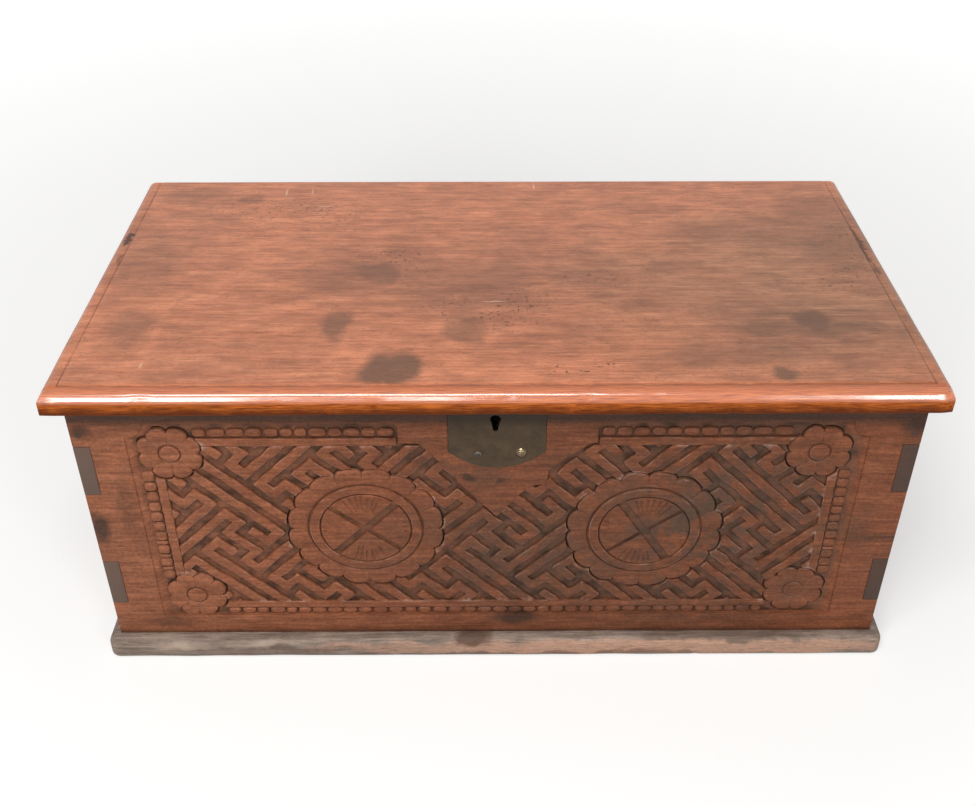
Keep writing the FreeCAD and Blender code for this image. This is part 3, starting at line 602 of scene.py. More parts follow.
# %% A block from an outline


def outline_block(name, outline, near, far, far_outline=None):
    """A block whose front view is an outline of (x, z) points, between two depths behind the face."""
    start_clean()
    bpy.ops.mesh.primitive_circle_add(vertices=len(outline), fill_type="NGON")
    block = bpy.context.object
    block.name = name
    for vertex, (x, z) in zip(block.data.vertices, outline):
        vertex.co = (x, front_low.y + near, z)
    extrude_all((0, far - near, 0))
    if far_outline:
        for vertex in block.data.vertices:
            if vertex.co.y > front_low.y + (near + far) / 2:
                gaps = [abs(vertex.co.x - x) + abs(vertex.co.z - z) for x, z in outline]
                x, z = far_outline[gaps.index(min(gaps))]
                vertex.co.x, vertex.co.z = x, z
    return block


def arc(centre, radius, start, end, steps=8):
    """Points on an arc, with angles in degrees."""
    turns = [math.radians(start + (end - start) * i / steps) for i in range(steps + 1)]
    return [(centre[0] + radius * math.cos(t), centre[1] + radius * math.sin(t)) for t in turns]


print("outlines ready")

# %% Outline of the field
field_left = -349.5 * MM
field_right = 351.5 * MM
field_low = 51 * MM
field_top = 308.5 * MM
scoop = 18 * MM
plain_left = -93 * MM
plain_right = 95 * MM
turn_down = 8 * MM
funnel = [(95, 284), (88, 283), (50, 251), (48, 233), (30, 229), (0, 190), (-38, 236), (-41, 244), (-74, 283),
          (-93, 284)]
funnel = [(x * MM, z * MM) for x, z in funnel]


def field_shape(inset, slope=0.0):
    """Outline of the field, drawn in on all sides by an inset and at both ends by a slope as well."""
    left, right = field_left + inset + slope, field_right - inset - slope
    low, top = field_low + inset, field_top - inset
    lean = math.degrees(math.asin(inset / (scoop + inset)))
    outline = [(left, low), (right, low)]
    outline += arc((field_right - slope, field_top), scoop + inset, 270 - lean, 180 + lean)
    outline += arc((plain_right + turn_down, top - turn_down), turn_down, 90, 180, 4)
    outline += funnel
    outline += arc((plain_left - turn_down, top - turn_down), turn_down, 0, 90, 4)
    return outline + arc((field_left + slope, field_top), scoop + inset, -lean, -90 + lean)


print("field is", round((field_right - field_left) / MM), "by", round((field_top - field_low) / MM), "mm")

# %% Scribed line and sunk ground
line_width = 1.3 * MM
line_depth = 0.8 * MM
lip = 0.25 * MM
ramp = 10 * MM
scribed = outline_block("scribed_line", field_shape(0.0), -MM, line_depth)
cut_away(scribed, [outline_block("inside_of_line", field_shape(line_width), -2 * MM, 2 * MM)])
cut_away(front_board, [scribed])
for face in front_board.data.polygons:
    depth = face.center.y - front_low.y
    inside = field_left - MM < face.center.x < field_right + MM and face.center.z > field_low - MM
    face.material_index = 1 if inside and 0.05 * MM < depth < line_depth + 0.1 * MM else 0
ground = [outline_block("lip_cutter", field_shape(line_width), -MM, lip),
          outline_block("ground_cutter", field_shape(line_width), lip - 0.05 * MM, carve_depth,
                        field_shape(line_width, ramp))]
cut_away(front_board, ground)
print(front_board.name, len(front_board.data.polygons), "faces with its sunk ground")

# %% [markdown]
# ## Seats for the lock, the nails and the hinges
# The lock plate is let into the face, the lock's iron case lies in a pocket behind it, the heads of
# the corner nails are flush, and the back's top edge has a shallow gain for each hinge strap. Each
# seat is cut from the size of the solid that lies in it.

# %% Outlines of the lock plate and the keyhole
plate_low, plate_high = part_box("lock_plate")
plate_half = plate_high.x
plate_shoulder = 10 * MM
plate_side = plate_high.z - 57 * MM
shoulder_drop = 7 * MM
seat_clear = 0.15 * MM
plate_gap = 0.5 * MM


def plate_outline(grow):
    """Straight sides, sloping shoulders and a bellied lower edge."""
    half = plate_half + grow
    shoulder = half - plate_shoulder
    low_side = plate_side - shoulder_drop - grow
    sag = low_side - plate_low.z + grow
    belly = []
    for step in range(1, 12):
        across = -1 + step / 6
        belly.append((across * shoulder, low_side - sag * (1 - across ** 2)))
    return [(-half, plate_high.z + grow), (-half, plate_side), (-shoulder, low_side)] + belly + [
        (shoulder, low_side), (half, plate_side), (half, plate_high.z + grow)]


key_low, key_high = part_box("lock_key_pin")
keyhole_x = (key_low.x + key_high.x) / 2
keyhole_z = (key_low.z + key_high.z) / 2
keyhole_round = 5.2 * MM
keyhole_foot = 14 * MM
foot_half = 2.5 * MM
keyhole = arc((keyhole_x, keyhole_z), keyhole_round, -40, 220, 20)
keyhole += [(x, keyhole_z - keyhole_foot) for x in (keyhole_x - foot_half, keyhole_x + foot_half)]
print("plate outline has", len(plate_outline(0)), "points, keyhole", len(keyhole))

# %% Cutting the seats
case_low, case_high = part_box("lock_case")
ear = 16 * MM
ear_thick = 2 * MM
seats = [
    outline_block("plate_seat", plate_outline(plate_gap), -MM, plate_high.y - front_low.y),
    outline_block("keyhole_cutter", keyhole, -MM, board_thick + MM),
    add_block("case_pocket",
              (case_low.x + ear - seat_clear, case_low.y - seat_clear, case_low.z - seat_clear),
              (case_high.x - ear + seat_clear, front_high.y + MM, front_high.z + MM)),
    add_block("ear_seat",
              (case_low.x - seat_clear, case_low.y - seat_clear, case_high.z - ear_thick - seat_clear),
              (case_high.x + seat_clear, front_high.y + MM, front_high.z + MM)),
]
nails_low, nails_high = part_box("corner_nails")
nail_level = (nails_low.z + nails_high.z) / 2
nail_head = (nails_high.z - nails_low.z) / 2 + 0.1 * MM
nail_sink = 1.25 * MM


def nail_seats(face_y):
    """Round seats for the heads of the corner nails in the front or the back."""
    cutters = []
    for x in (front_low.x + board_thick / 2, front_high.x - board_thick / 2):
        start_clean()
        bpy.ops.mesh.primitive_cylinder_add(vertices=20, radius=nail_head, depth=2 * nail_sink,
                                            location=(x, face_y, nail_level), rotation=(math.pi / 2, 0, 0))
        bpy.ops.object.transform_apply(location=True, rotation=True, scale=True)
        cutters.append(bpy.context.object)
    return cutters


back_low, back_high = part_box("back_board")
strap_under = 329.2 * MM
gains = []
for side in ("left", "right"):
    strap_low, strap_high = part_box(side + "_hinge_strap")
    gains.append(add_block("hinge_gain", (strap_low.x - 2 * seat_clear, back_low.y - MM, strap_under),
                           (strap_high.x + 2 * seat_clear, back_high.y + MM, back_high.z + MM)))
cut_away(front_board, seats + nail_seats(front_low.y))
cut_away(back_board, gains + nail_seats(back_high.y))
print("front board", len(front_board.data.polygons), "faces, back board", len(back_board.data.polygons))

# %% [markdown]
# ## The key fret
# The ground of the field is filled with a fret of hooked lines that run at 45 degrees. Drawn on
# squared paper, each crossing of the pattern sends out four arms that step aside once and then run on
# as a long bar to the next crossing, and every other crossing is its mirror image. A grid primitive is
# the squared paper: turned to 45 degrees, its cells are kept or deleted by that rule, and what is left
# is extruded. The carver left the bars a little wider than the gaps and cut each line by eye, so the
# lines of the paper are moved apart, and smooth noise takes away the ruler's straightness.

# %% Which cells of the squared paper stand
line_space = 18 * MM
cell = line_space / 2
bar_gain = 0.25 * MM
fret_middle = Vector((0, front_low.y + carve_depth, 156 * MM))
crossing_step = 5
paper_half = 36


def fret_cells(reach):
    """Cells left standing, counted in half line spaces from the middle of the pattern."""
    standing = set()
    for row in range(-reach, reach + 1):
        for column in range(-reach, reach + 1):
            hand = 1 if (row + column) % 2 == 0 else -1
            arm = [(0, 0), (0, 1), (1, 1), (1, 2), (-6, 2)]
            for quarter in range(4):
                corners = arm[quarter % 2:]
                for (a, b), (a_next, b_next) in zip(corners, corners[1:]):
                    steps = 2 * max(abs(a_next - a), abs(b_next - b))
                    for step in range(steps + 1):
                        along = a + (a_next - a) * step / steps
                        up = b + (b_next - b) * step / steps
                        standing.add((round(2 * (crossing_step * column + hand * along)),
                                      round(2 * (crossing_step * row + up))))
                arm = [(b, -a) for a, b in arm]
    return standing


def on_paper(point):
    """A point of the front in cells of the turned paper, up to the right and up to the left."""
    x, z = point.x - fret_middle.x, point.z - fret_middle.z
    return (x + z) / math.sqrt(2) / cell, (z - x) / math.sqrt(2) / cell


standing = fret_cells(5)
print(len(standing), "cells stand on the whole paper")

# %% Choosing cells and wavering by hand
fret_left = -318.5 * MM
fret_right = 320 * MM
fret_low = 70.5 * MM
fret_top = 280 * MM
margin = 12 * MM
sunk = 0.4 * MM


def pick_faces(piece, rule):
    """Go into edit mode with only those faces selected whose middle passes the rule."""
    take_up(piece)
    bpy.context.tool_settings.mesh_select_mode = (False, False, True)
    for face in piece.data.polygons:
        face.select = rule(face.center)
    bpy.ops.object.mode_set(mode="EDIT")


def hand_shift(point, amount, grain=60):
    """A small smooth shift in the plane of the front, the same for the same place."""
    drift = noise.noise_vector(point * grain)
    return Vector((drift.x, 0, drift.z)) * amount


def off_the_fret(middle):
    inside = (fret_left - margin < middle.x < fret_right + margin
              and fret_low - margin < middle.z < fret_top + margin)
    return not inside or tuple(round(v) for v in on_paper(middle)) not in standing


print("fret field is", round((fret_right - fret_left) / MM), "by", round((fret_top - fret_low) / MM), "mm")

# %% Cutting the fret out of the paper
hand_drift = 1.4 * MM
hand_tremble = 0.7 * MM
tremble_grain = 170
fret_edge = 1.1 * MM
start_clean()
cells_across = 2 * paper_half + 1
bpy.ops.mesh.primitive_grid_add(x_subdivisions=cells_across, y_subdivisions=cells_across,
                                size=cells_across * cell, location=fret_middle + Vector((0, sunk, 0)),
                                rotation=(math.pi / 2, -math.pi / 4, 0))
bpy.ops.object.transform_apply(location=True, rotation=True, scale=True)
fret = bpy.context.object
fret.name = "fret_carving"
pick_faces(fret, off_the_fret)
bpy.ops.mesh.delete(type="FACE")
bpy.ops.object.mode_set(mode="OBJECT")
for vertex in fret.data.vertices:
    gain = [bar_gain if math.floor(v) % 2 == 0 else -bar_gain for v in on_paper(vertex.co)]
    vertex.co += Vector((gain[0] - gain[1], 0, gain[0] + gain[1])) / math.sqrt(2)
bpy.ops.object.mode_set(mode="EDIT")
bpy.ops.mesh.select_all(action="SELECT")
bpy.ops.mesh.subdivide(number_cuts=1)
bpy.ops.object.mode_set(mode="OBJECT")
for vertex in fret.data.vertices:
    vertex.co += hand_shift(vertex.co, hand_drift) + hand_shift(vertex.co, hand_tremble, tremble_grain)
extrude_all((0, -carve_depth - sunk, 0))
break_edges(fret, fret_edge)
print(fret.name, len(fret.data.polygons), "faces")

# %% Trimming the fret to its field


def trim(piece, point, outward):
    """Cut a piece off square at a plane and close the cut."""
    take_up(piece)
    bpy.ops.object.mode_set(mode="EDIT")
    bpy.ops.mesh.select_all(action="SELECT")
    bpy.ops.mesh.bisect(plane_co=point, plane_no=outward, clear_outer=True, use_fill=True)
    bpy.ops.object.mode_set(mode="OBJECT")


trim(fret, (fret_left, 0, 0), (-1, 0, 0))
trim(fret, (fret_right, 0, 0), (1, 0, 0))
trim(fret, (0, 0, fret_low), (0, 0, -1))
trim(fret, (0, 0, fret_top), (0, 0, 1))
print(fret.name, len(fret.data.polygons), "faces inside its field")

# %% [markdown]
# ## Medallions and flowers
# Each medallion is a flat ring inside a border of petals, and each corner flower is a button inside
# eight petals, all nearly flat and parted by thin cut lines. A cross-section is drawn as a loop of
# vertices and spun round the middle, and then the rim is pushed in between the petals and a thin
# valley is pressed along each line between two.

# %% Spinning a cross-section


def turned(name, centre, section, steps):
    """Spin a closed section of (radius, height over the ground) round an axis square to the front."""
    start_clean()
    bpy.ops.mesh.primitive_circle_add(vertices=len(section), fill_type="NOTHING")
    piece = bpy.context.object
    piece.name = name
    for vertex, (radius, rise) in zip(piece.data.vertices, section):
        vertex.co = (centre[0] + radius * MM, front_low.y + carve_depth - rise * MM, centre[1])
    bpy.ops.object.mode_set(mode="EDIT")
    bpy.ops.mesh.select_all(action="SELECT")
    bpy.ops.mesh.spin(steps=steps, angle=math.tau, center=(centre[0], 0, centre[1]), axis=(0, 1, 0))
    bpy.ops.mesh.select_all(action="SELECT")
    bpy.ops.mesh.remove_doubles(threshold=0.01 * MM)
    bpy.ops.mesh.delete_loose()
    bpy.ops.mesh.select_all(action="SELECT")
    bpy.ops.mesh.normals_make_consistent(inside=False)
    bpy.ops.object.mode_set(mode="OBJECT")
    return piece


print("spinning ready")

# %% Petals on a spun rim
petal_shift = 1.3 * MM
petal_grain = 45
petal_line = 1.0 * MM
petal_crown = 0.15 * MM


def petal_across(angle, petals):
    """Where an angle lies across its petal, from -1 to 1, with 0 on the petal's middle."""
    return 2 * ((angle * petals / math.tau) % 1) - 1


def petal_reach(angle, petals, valley):
    """How far out the rim comes at an angle: 1 on a petal's middle and less between two petals."""
    return 1 - valley * (1 - math.sqrt(1 - 0.97 * petal_across(angle, petals) ** 2))


def shape_petals(piece, centre, inner, outer, petals, valley, groove):
    """Push the rim in between petals, crown each petal and press a line between two."""
    for vertex in piece.data.vertices:
        x, z = vertex.co.x - centre[0], vertex.co.z - centre[1]
        radius = math.hypot(x, z)
        if radius <= inner:
            continue
        angle = math.atan2(z, x)
        rim = outer * petal_reach(angle, petals, valley)
        reach = inner + (radius - inner) * (rim - inner) / (outer - inner)
        across = abs(petal_across(angle, petals))
        half_width = math.pi * radius / petals
        line = max(0.0, 1 - (1 - across) * half_width / petal_line)
        outward = min(1.0, 2.0 * (radius - inner) / (outer - inner))
        lowered = petal_crown * across ** 2 + groove * line * outward
        vertex.co.x = centre[0] + x * reach / radius
        vertex.co.z = centre[1] + z * reach / radius
        if vertex.co.y < front_low.y + carve_depth:
            vertex.co.y += lowered
        place = Vector((vertex.co.x, front_low.y, vertex.co.z))
        vertex.co += hand_shift(place, petal_shift, petal_grain)


print("petals waver by up to", petal_shift / MM, "mm")

# %% Medallions
medallion_reach = 78 * MM
medallion_inner = 58.2 * MM
medallion_petals = 16
medallion_valley = 0.085
medallion_groove = 1.0 * MM
medallions = {"left": (-130 * MM, 173.5 * MM), "right": (147.5 * MM, 168.4 * MM)}
medallion_section = [
    (45.6, -1.3), (45.8, 2.6), (46.3, 3.6), (47.2, 3.95), (51, 4.0), (54.4, 3.95), (55.3, 3.6),
    (55.8, 2.2), (56.2, 0.9), (57.2, 0.9), (57.8, 2.6), (59, 3.4), (63, 3.6), (67, 3.7),
    (71, 3.85), (74.6, 3.85), (76.4, 3.6), (77.3, 3.0), (77.8, 1.8), (78, -1.3),
]
cross_ground = [(0, 0.8), (45.7, 0.8), (45.7, -1.3), (0, -1.3)]
rings = []
for side, centre in medallions.items():
    ring = turned(side + "_medallion", centre, medallion_section, 256)
    shape_petals(ring, centre, medallion_inner, medallion_reach, medallion_petals, medallion_valley,
                 medallion_groove)
    rings += [ring, turned(side + "_cross_ground", centre, cross_ground, 64)]
    print(ring.name, len(ring.data.polygons), "faces")

# %% [markdown]
# A short chip line runs out from the button between every two petals. A chip is a thin bar laid at a
# slope across the front. All the chips of one flower are joined into one cutter, because they don't
# touch.

# %% Chips and corner flowers


def slanted_bar(name, centre, angle, start, end, width, near, far):
    """A long block across the front at a slope, between two distances from a centre."""
    start_clean()
    middle = (start + end) / 2
    place = (centre[0] + middle * math.cos(angle), front_low.y + (near + far) / 2,
             centre[1] + middle * math.sin(angle))
    bpy.ops.mesh.primitive_cube_add(size=1, location=place, rotation=(0, -angle, 0),
                                    scale=(end - start, far - near, width))
    bpy.ops.object.transform_apply(location=True, rotation=True, scale=True)
    bar = bpy.context.object
    bar.name = name
    return bar


chip_start = 12.5 * MM
chip_end = 18 * MM
chip_width = 1.0 * MM
chip_depth = 1.3 * MM
flower_reach = 32 * MM
flower_inner = 12 * MM
flower_petals = 8
flower_valley = 0.2
flower_groove = 0.7 * MM
flowers = [(-310.5, 270.4), (-311, 80), (306.9, 269.8), (309.4, 84)]
flowers = [(x * MM, z * MM) for x, z in flowers]
flower_section = [
    (0, 3.95), (5, 3.9), (8.4, 3.7), (9.4, 3.2), (9.9, 1.4), (10.6, 1.2), (11.2, 2.6), (12, 3.3),
    (15, 3.5), (19, 3.65), (23, 3.8), (27, 3.85), (29.6, 3.6), (31, 2.9), (31.7, 1.6), (32, -1.3),
    (0, -1.3),
]
blossoms = []
for number, centre in enumerate(flowers):
    blossom = turned("flower_" + str(number), centre, flower_section, 128)
    shape_petals(blossom, centre, flower_inner, flower_reach, flower_petals, flower_valley, flower_groove)
    chips = [slanted_bar("chip", centre, petal * math.tau / flower_petals, chip_start, chip_end,
                         chip_width, -MM, chip_depth) for petal in range(flower_petals)]
    cut_away(blossom, [join_pieces("chips", chips)])
    blossoms.append(blossom)
print(len(blossoms), "flowers of", len(blossoms[0].data.polygons), "faces")

# %% [markdown]
# Inside each ring stand four pads between the arms of a sunk cross. Fans of shallow gouge cuts run
# across the upper and the lower pad, and a few nick the outer ends of the side pads. The carver's
# crosses are uneven, so each arm has its own slope and width, and each cut its own length. A pad's
# outline starts where the edges of two arms meet and follows the ring round from one to the other. The
# pads are taken in the order right, upper, left and lower, and each fan is written as its number of
# cuts and how far from the middle they start, in millimetres.

# %% Pads inside the rings
pad_reach = 44.6 * MM
pad_rise = 3.7 * MM
pad_edge = 0.4 * MM
cross_arms = {"left": [(-39, 5.5), (46, 8.5), (141, 5.5), (226, 8.5)],
              "right": [(-57, 9.0), (37, 4.5), (123, 9.0), (217, 4.5)]}
gouge_fans = [(3, 35), (7, 22), (3, 36), (6, 24)]
gouge_step = 8.5
gouge_width = 1.9 * MM
gouge_depth = 1.1 * MM
dice = random.Random(11)


def pad_outline(centre, start, end):
    """Outline of the pad between two arms, each given as its slope in degrees and its width in mm."""
    turns = [math.radians(start[0]), math.radians(end[0])]
    halves = [start[1] * MM / 2, end[1] * MM / 2]
    spread = math.sin(turns[1] - turns[0])
    tip = [(halves[0] * way(turns[1]) + halves[1] * way(turns[0])) / spread for way in (math.cos, math.sin)]
    first = start[0] + math.degrees(math.asin(halves[0] / pad_reach))
    last = end[0] - math.degrees(math.asin(halves[1] / pad_reach))
    return [(centre[0] + tip[0], centre[1] + tip[1])] + arc(centre, pad_reach, first, last, 24)


pads = []
for side, centre in medallions.items():
    arms = cross_arms[side]
    arms = arms + [(arms[0][0] + 360, arms[0][1])]
    quarters = []
    gouges = []
    for first, last, (count, start) in zip(arms, arms[1:], gouge_fans):
        quarters.append(outline_block("pad", pad_outline(centre, first, last), carve_depth - pad_rise,
                                      carve_depth + sunk))
        for cut in range(count):
            slope = (first[0] + last[0]) / 2 + (cut - (count - 1) / 2) * gouge_step + dice.uniform(-1.2, 1.2)
            gouges.append(slanted_bar("gouge", centre, math.radians(slope), (start + dice.uniform(0, 6)) * MM,
                                      pad_reach - dice.uniform(0.8, 3) * MM, gouge_width, -MM,
                                      carve_depth - pad_rise + gouge_depth))
    pad = join_pieces(side + "_pads", quarters)
    cut_away(pad, [join_pieces("gouges", gouges)])
    break_edges(pad, pad_edge, 1)
    pads.append(pad)
    print(pad.name, len(pad.data.polygons), "faces")

# %% [markdown]
# The fret has to make room for all of these. The cutters use the same petal outline, a little larger,
# so that a line of ground is left round every petal. The carver set in that line with a deeper cut of
# the gouge, which is black with dirt now, so the same cutters also go into the board. Under the lock
# the bars run straight into the plain wood, so there the cutter is smaller than the plain shape.

# %% Clearing the fret and setting in the outlines
rim_gap = 1.3 * MM


def petal_rooms(near, far):
    """Cutters round all the medallions and flowers, between two depths behind the face."""
    rims = [(c, medallion_reach, medallion_petals, medallion_valley) for c in medallions.values()]
    rims += [(c, flower_reach, flower_petals, flower_valley) for c in flowers]
    rooms = []
    for centre, reach, petals, valley in rims:
        points = []
        for step in range(petals * 10):
            angle = math.tau * step / (petals * 10)
            rim = reach * petal_reach(angle, petals, valley) + rim_gap
            point = Vector((centre[0] + rim * math.cos(angle), front_low.y,
                            centre[1] + rim * math.sin(angle)))
            point += hand_shift(point, petal_shift, petal_grain)
            points.append((point.x, point.z))
        rooms.append(outline_block("petal_room", points, near, far))
    return rooms


clearings = petal_rooms(-MM, carve_depth + MM)
cut_away(front_board, petal_rooms(carve_depth - 0.5 * MM, carve_depth + set_in))
plain_room = [(x * 0.95, z + 2 * MM) for x, z in funnel]
plain_room += [(plain_left, fret_top + margin), (plain_right, fret_top + margin)]
clearings.append(outline_block("plain_room", plain_room, -MM, carve_depth + MM))
cut_away(fret, clearings)
print(fret.name, len(fret.data.polygons), "faces after clearing")

# %% [markdown]
# ## Beads and fillets
# A flat fillet and a string of beads frame the field on all four sides. A bead is a sphere with its
# sides squared up, modelled once and copied, and each copy has its own length, as the carver spaced
# them by eye. The columns mix round beads with thin ribs.

# %% Where the beads lie
bead_places = []


def bead_row(left, right, low, high, count):
    """Beads side by side between two ends, each a little longer or shorter than the next."""
    shares = [dice.uniform(0.82, 1.18) for _ in range(count)]
    edge = left
    for share in shares:
        width = (right - left) * share / sum(shares)
        bead_places.append(((edge + width / 2, (low + high) / 2),
                            (width * 0.95, (high - low) * dice.uniform(0.92, 1.04))))
        edge += width


def bead_column(left, right, low, high, count):
    """Round beads one above the other, with a rib after some of them."""
    shares = [dice.choice((1.0, 1.1, 0.9, 0.35)) if i % 2 else dice.uniform(0.9, 1.1) for i in range(count)]
    edge = low
    for share in shares:
        height = (high - low) * share / sum(shares)
        bead_places.append((((left + right) / 2, edge + height / 2), (right - left, height * 0.95)))
        edge += height


bead_strings = [(bead_row, (-287, -96, 290, 300.5), 12), (bead_row, (98, 280, 290, 300.5), 11),
                (bead_row, (-282, 280, 51.7, 60.7), 37), (bead_column, (-342, -329, 103, 248), 13),
                (bead_column, (329.5, 342.5, 107, 247), 13)]
for lay, sides, count in bead_strings:
    lay(*(side * MM for side in sides), count)
print(len(bead_places), "beads")

# %% One bead and its copies
bead_rise = 3.6 * MM


def squared(value, power=0.68):
    """Push a coordinate of the unit sphere outwards, so that the ball becomes a cushion."""
    return math.copysign(abs(value) ** power, value)


start_clean()
bpy.ops.mesh.primitive_uv_sphere_add(segments=14, ring_count=8, radius=1, rotation=(math.pi / 2, 0, 0))
bpy.ops.object.transform_apply(location=True, rotation=True, scale=True)
bead = bpy.context.object
bead.name = "bead_pattern"
for vertex in bead.data.vertices:
    vertex.co = [squared(v) for v in vertex.co]
beads = []
for (x, z), (width, height) in bead_places:
    copy = bead.copy()
    copy.data = bead.data.copy()
    copy.location = (x, front_low.y + carve_depth, z)
    copy.scale = (width / 2, bead_rise, height / 2)
    bpy.context.collection.objects.link(copy)
    beads.append(copy)
bpy.data.objects.remove(bead, do_unlink=True)
beads = join_pieces("bead_border", beads)
bpy.ops.object.transform_apply(location=True, rotation=True, scale=True)
print(beads.name, len(beads.data.polygons), "faces")

# %% Fillets
fillet_drop = 0.2 * MM
fillet_step = 15 * MM
fillet_shift = 0.8 * MM
fillet_grain = 35
fillet_edge = 0.8 * MM


def fillet(low_x, low_z, high_x, high_z):
    """A flat strip cut by eye: divided along its length, shifted a little and its edges broken."""
    strip = add_block("fillet", (low_x, front_low.y + fillet_drop, low_z),
                      (high_x, front_low.y + carve_depth + sunk, high_z))
    across = 0 if high_x - low_x > high_z - low_z else 2
    start, end = (low_x, high_x) if across == 0 else (low_z, high_z)
    normal = [0, 0, 0]
    normal[across] = 1
    count = int((end - start) / fillet_step)
    bpy.ops.object.mode_set(mode="EDIT")
    for cut in range(1, count):
        place = [0, 0, 0]
        place[across] = start + (end - start) * cut / count
        bpy.ops.mesh.select_all(action="SELECT")
        bpy.ops.mesh.bisect(plane_co=place, plane_no=normal)
    bpy.ops.object.mode_set(mode="OBJECT")
    for vertex in strip.data.vertices:
        vertex.co += hand_shift(vertex.co, fillet_shift, fillet_grain)
    break_edges(strip, fillet_edge)
    return strip


fillet_corners = [(-284, 280, -95, 288.8), (97, 280, 282, 288.8), (-284, 61.5, 282, 70.3),
                  (-328, 100, -319, 250), (319.5, 103, 328.5, 250)]
fillets = join_pieces("fillets", [fillet(*(side * MM for side in sides)) for sides in fillet_corners])
cut_away(fillets, petal_rooms(-MM, carve_depth + MM))
print(fillets.name, len(fillets.data.polygons), "faces")

# %% [markdown]
# Hands and cloths have worn the carving unevenly, most at the right and round the lower right flower.
# Smooth noise lowers the tops. Before that, the edges near the face, where the surface turns away from
# the front, are marked as rubbed for the finish, which polishes them and paints them paler, partly as
# worn wood and partly as a painted highlight. The pads inside the rings lie out of reach and are left
# out. Then the carving and the board become one piece.

# %% Worn tops, and the carved front as one board
carving = join_pieces("carving", [fret] + rings + blossoms + pads + [beads, fillets])
# rubbed edges get a real gloss, and a paler colour that is partly a painted highlight
rubbed = carving.data.attributes.new("rubbed", "FLOAT", "POINT")
rubbed_depth = 1.4 * MM
least_wear = 0.06 * MM
ring_inside = 45 * MM
worn_flower = flowers[3]
worn_reach = 55 * MM
turns = [1 - abs(vertex.normal.y) for vertex in carving.data.vertices]
for vertex, mark, turn in zip(carving.data.vertices, rubbed.data, turns):
    depth = vertex.co.y - front_low.y
    in_ring = any(math.hypot(vertex.co.x - x, vertex.co.z - z) < ring_inside for x, z in medallions.values())
    if not in_ring:
        mark.value = min(1.0, max(0.0, 4 * turn - 0.2)) * max(0.0, 1 - depth / rubbed_depth)
    if depth >= carve_depth:
        continue
    rub = 0.5 + 0.5 * noise.noise(vertex.co * 28)
    right = min(1.0, max(0.0, (vertex.co.x + 0.05) / 0.2))
    apart = math.hypot(vertex.co.x - worn_flower[0], vertex.co.z - worn_flower[1])
    flower = max(0.0, 1 - apart / worn_reach)
    wear = min(0.5, 0.12 * rub + 0.16 * right * rub + 0.5 * flower)
    vertex.co.y += least_wear + (carve_depth - depth) * wear
front_board = join_pieces("carved_front_board", [front_board, carving])
smooth_by_angle(front_board)
print(front_board.name, len(front_board.data.polygons), "faces")

# %% [markdown]
# ## Lid and base planks
# Both planks are single boards with rounded edges. The lid is moulded on top along its front and both
# ends, with mitred corners, and left square at the back. A grid the size of the plank is extruded to its
# thickness and its edges are bevelled round. Smooth noise then wears the rim by up to a millimetre or
# so and never pushes it out, so the plank stays inside the size of its solid.

# %% Choosing edges
hair = 0.01 * MM


def pick_edges(piece, rule):
    """Go into edit mode with only those edges selected whose two ends pass the rule."""
    take_up(piece)
    bpy.context.tool_settings.mesh_select_mode = (False, True, False)
    mesh = piece.data
    for part in (mesh.polygons, mesh.vertices):
        for item in part:
            item.select = False
    for edge in mesh.edges:
        edge.select = rule(*(mesh.vertices[i].co for i in edge.vertices))
    bpy.ops.object.mode_set(mode="EDIT")


def bevel_edges(piece, rule, width, segments):
    """Bevel the edges that pass a rule."""
    pick_edges(piece, rule)
    bpy.ops.mesh.bevel(offset=width, segments=segments, affect="EDGES")
    bpy.ops.object.mode_set(mode="OBJECT")


def on_rim(node, level, *sides):
    """A rule for edges along some sides of a plank's outline at one height."""
    low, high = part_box(node)

    def rule(a, b):
        if abs(a.z - level) > hair or abs(b.z - level) > hair:
            return False
        along = {"front": max(a.y, b.y) - low.y < hair, "back": high.y - min(a.y, b.y) < hair,
                 "left": max(a.x, b.x) - low.x < hair, "right": high.x - min(a.x, b.x) < hair}
        return any(along[side] for side in sides)

    return rule


print("edges are matched within", hair / MM, "mm")

# %% Lid plank with its moulded edge
plank_step = 6 * MM


def plank(name, node, border, step):
    """A slab the size of a solid, with cells of one step inside a plain border."""
    low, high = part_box(node)
    across = round((high.x - low.x - 2 * border) / step) + 2
    deep = round((high.y - low.y - 2 * border) / step) + 2
    start_clean()
    bpy.ops.mesh.primitive_grid_add(x_subdivisions=across, y_subdivisions=deep, size=1)
    piece = bpy.context.object
    piece.name = name
    for vertex in piece.data.vertices:
        for axis, count in ((0, across), (1, deep)):
            number = round((vertex.co[axis] + 0.5) * count)
            inner = border + (high[axis] - low[axis] - 2 * border) * (number - 1) / (count - 2)
            place = low[axis] + inner
            vertex.co[axis] = low[axis] if number == 0 else high[axis] if number == count else place
        vertex.co.z = low.z
    extrude_all((0, 0, high.z - low.z))
    return piece


lid_low, lid_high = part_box("lid_board")
groove_inset = 16 * MM
lid = plank("polished_lid", "lid_board", groove_inset, plank_step)
top_round = 10 * MM
under_round = 1.5 * MM
back_round = 4 * MM
bevel_edges(lid, on_rim("lid_board", lid_high.z, "front", "left", "right"), top_round, 12)
bevel_edges(lid, on_rim("lid_board", lid_low.z, "front", "left", "right"), under_round, 2)
bevel_edges(lid, on_rim("lid_board", lid_low.z, "back"), back_round, 4)
print(lid.name, len(lid.data.polygons), "faces")

# %% [markdown]
# Arms and sleeves have rubbed the rounded front edge flat in a band that faces up at 30 degrees, and
# that band is what catches the window. The points of the rounding between 45 and 75 degrees from the
# top are pressed back to the straight line between those two.

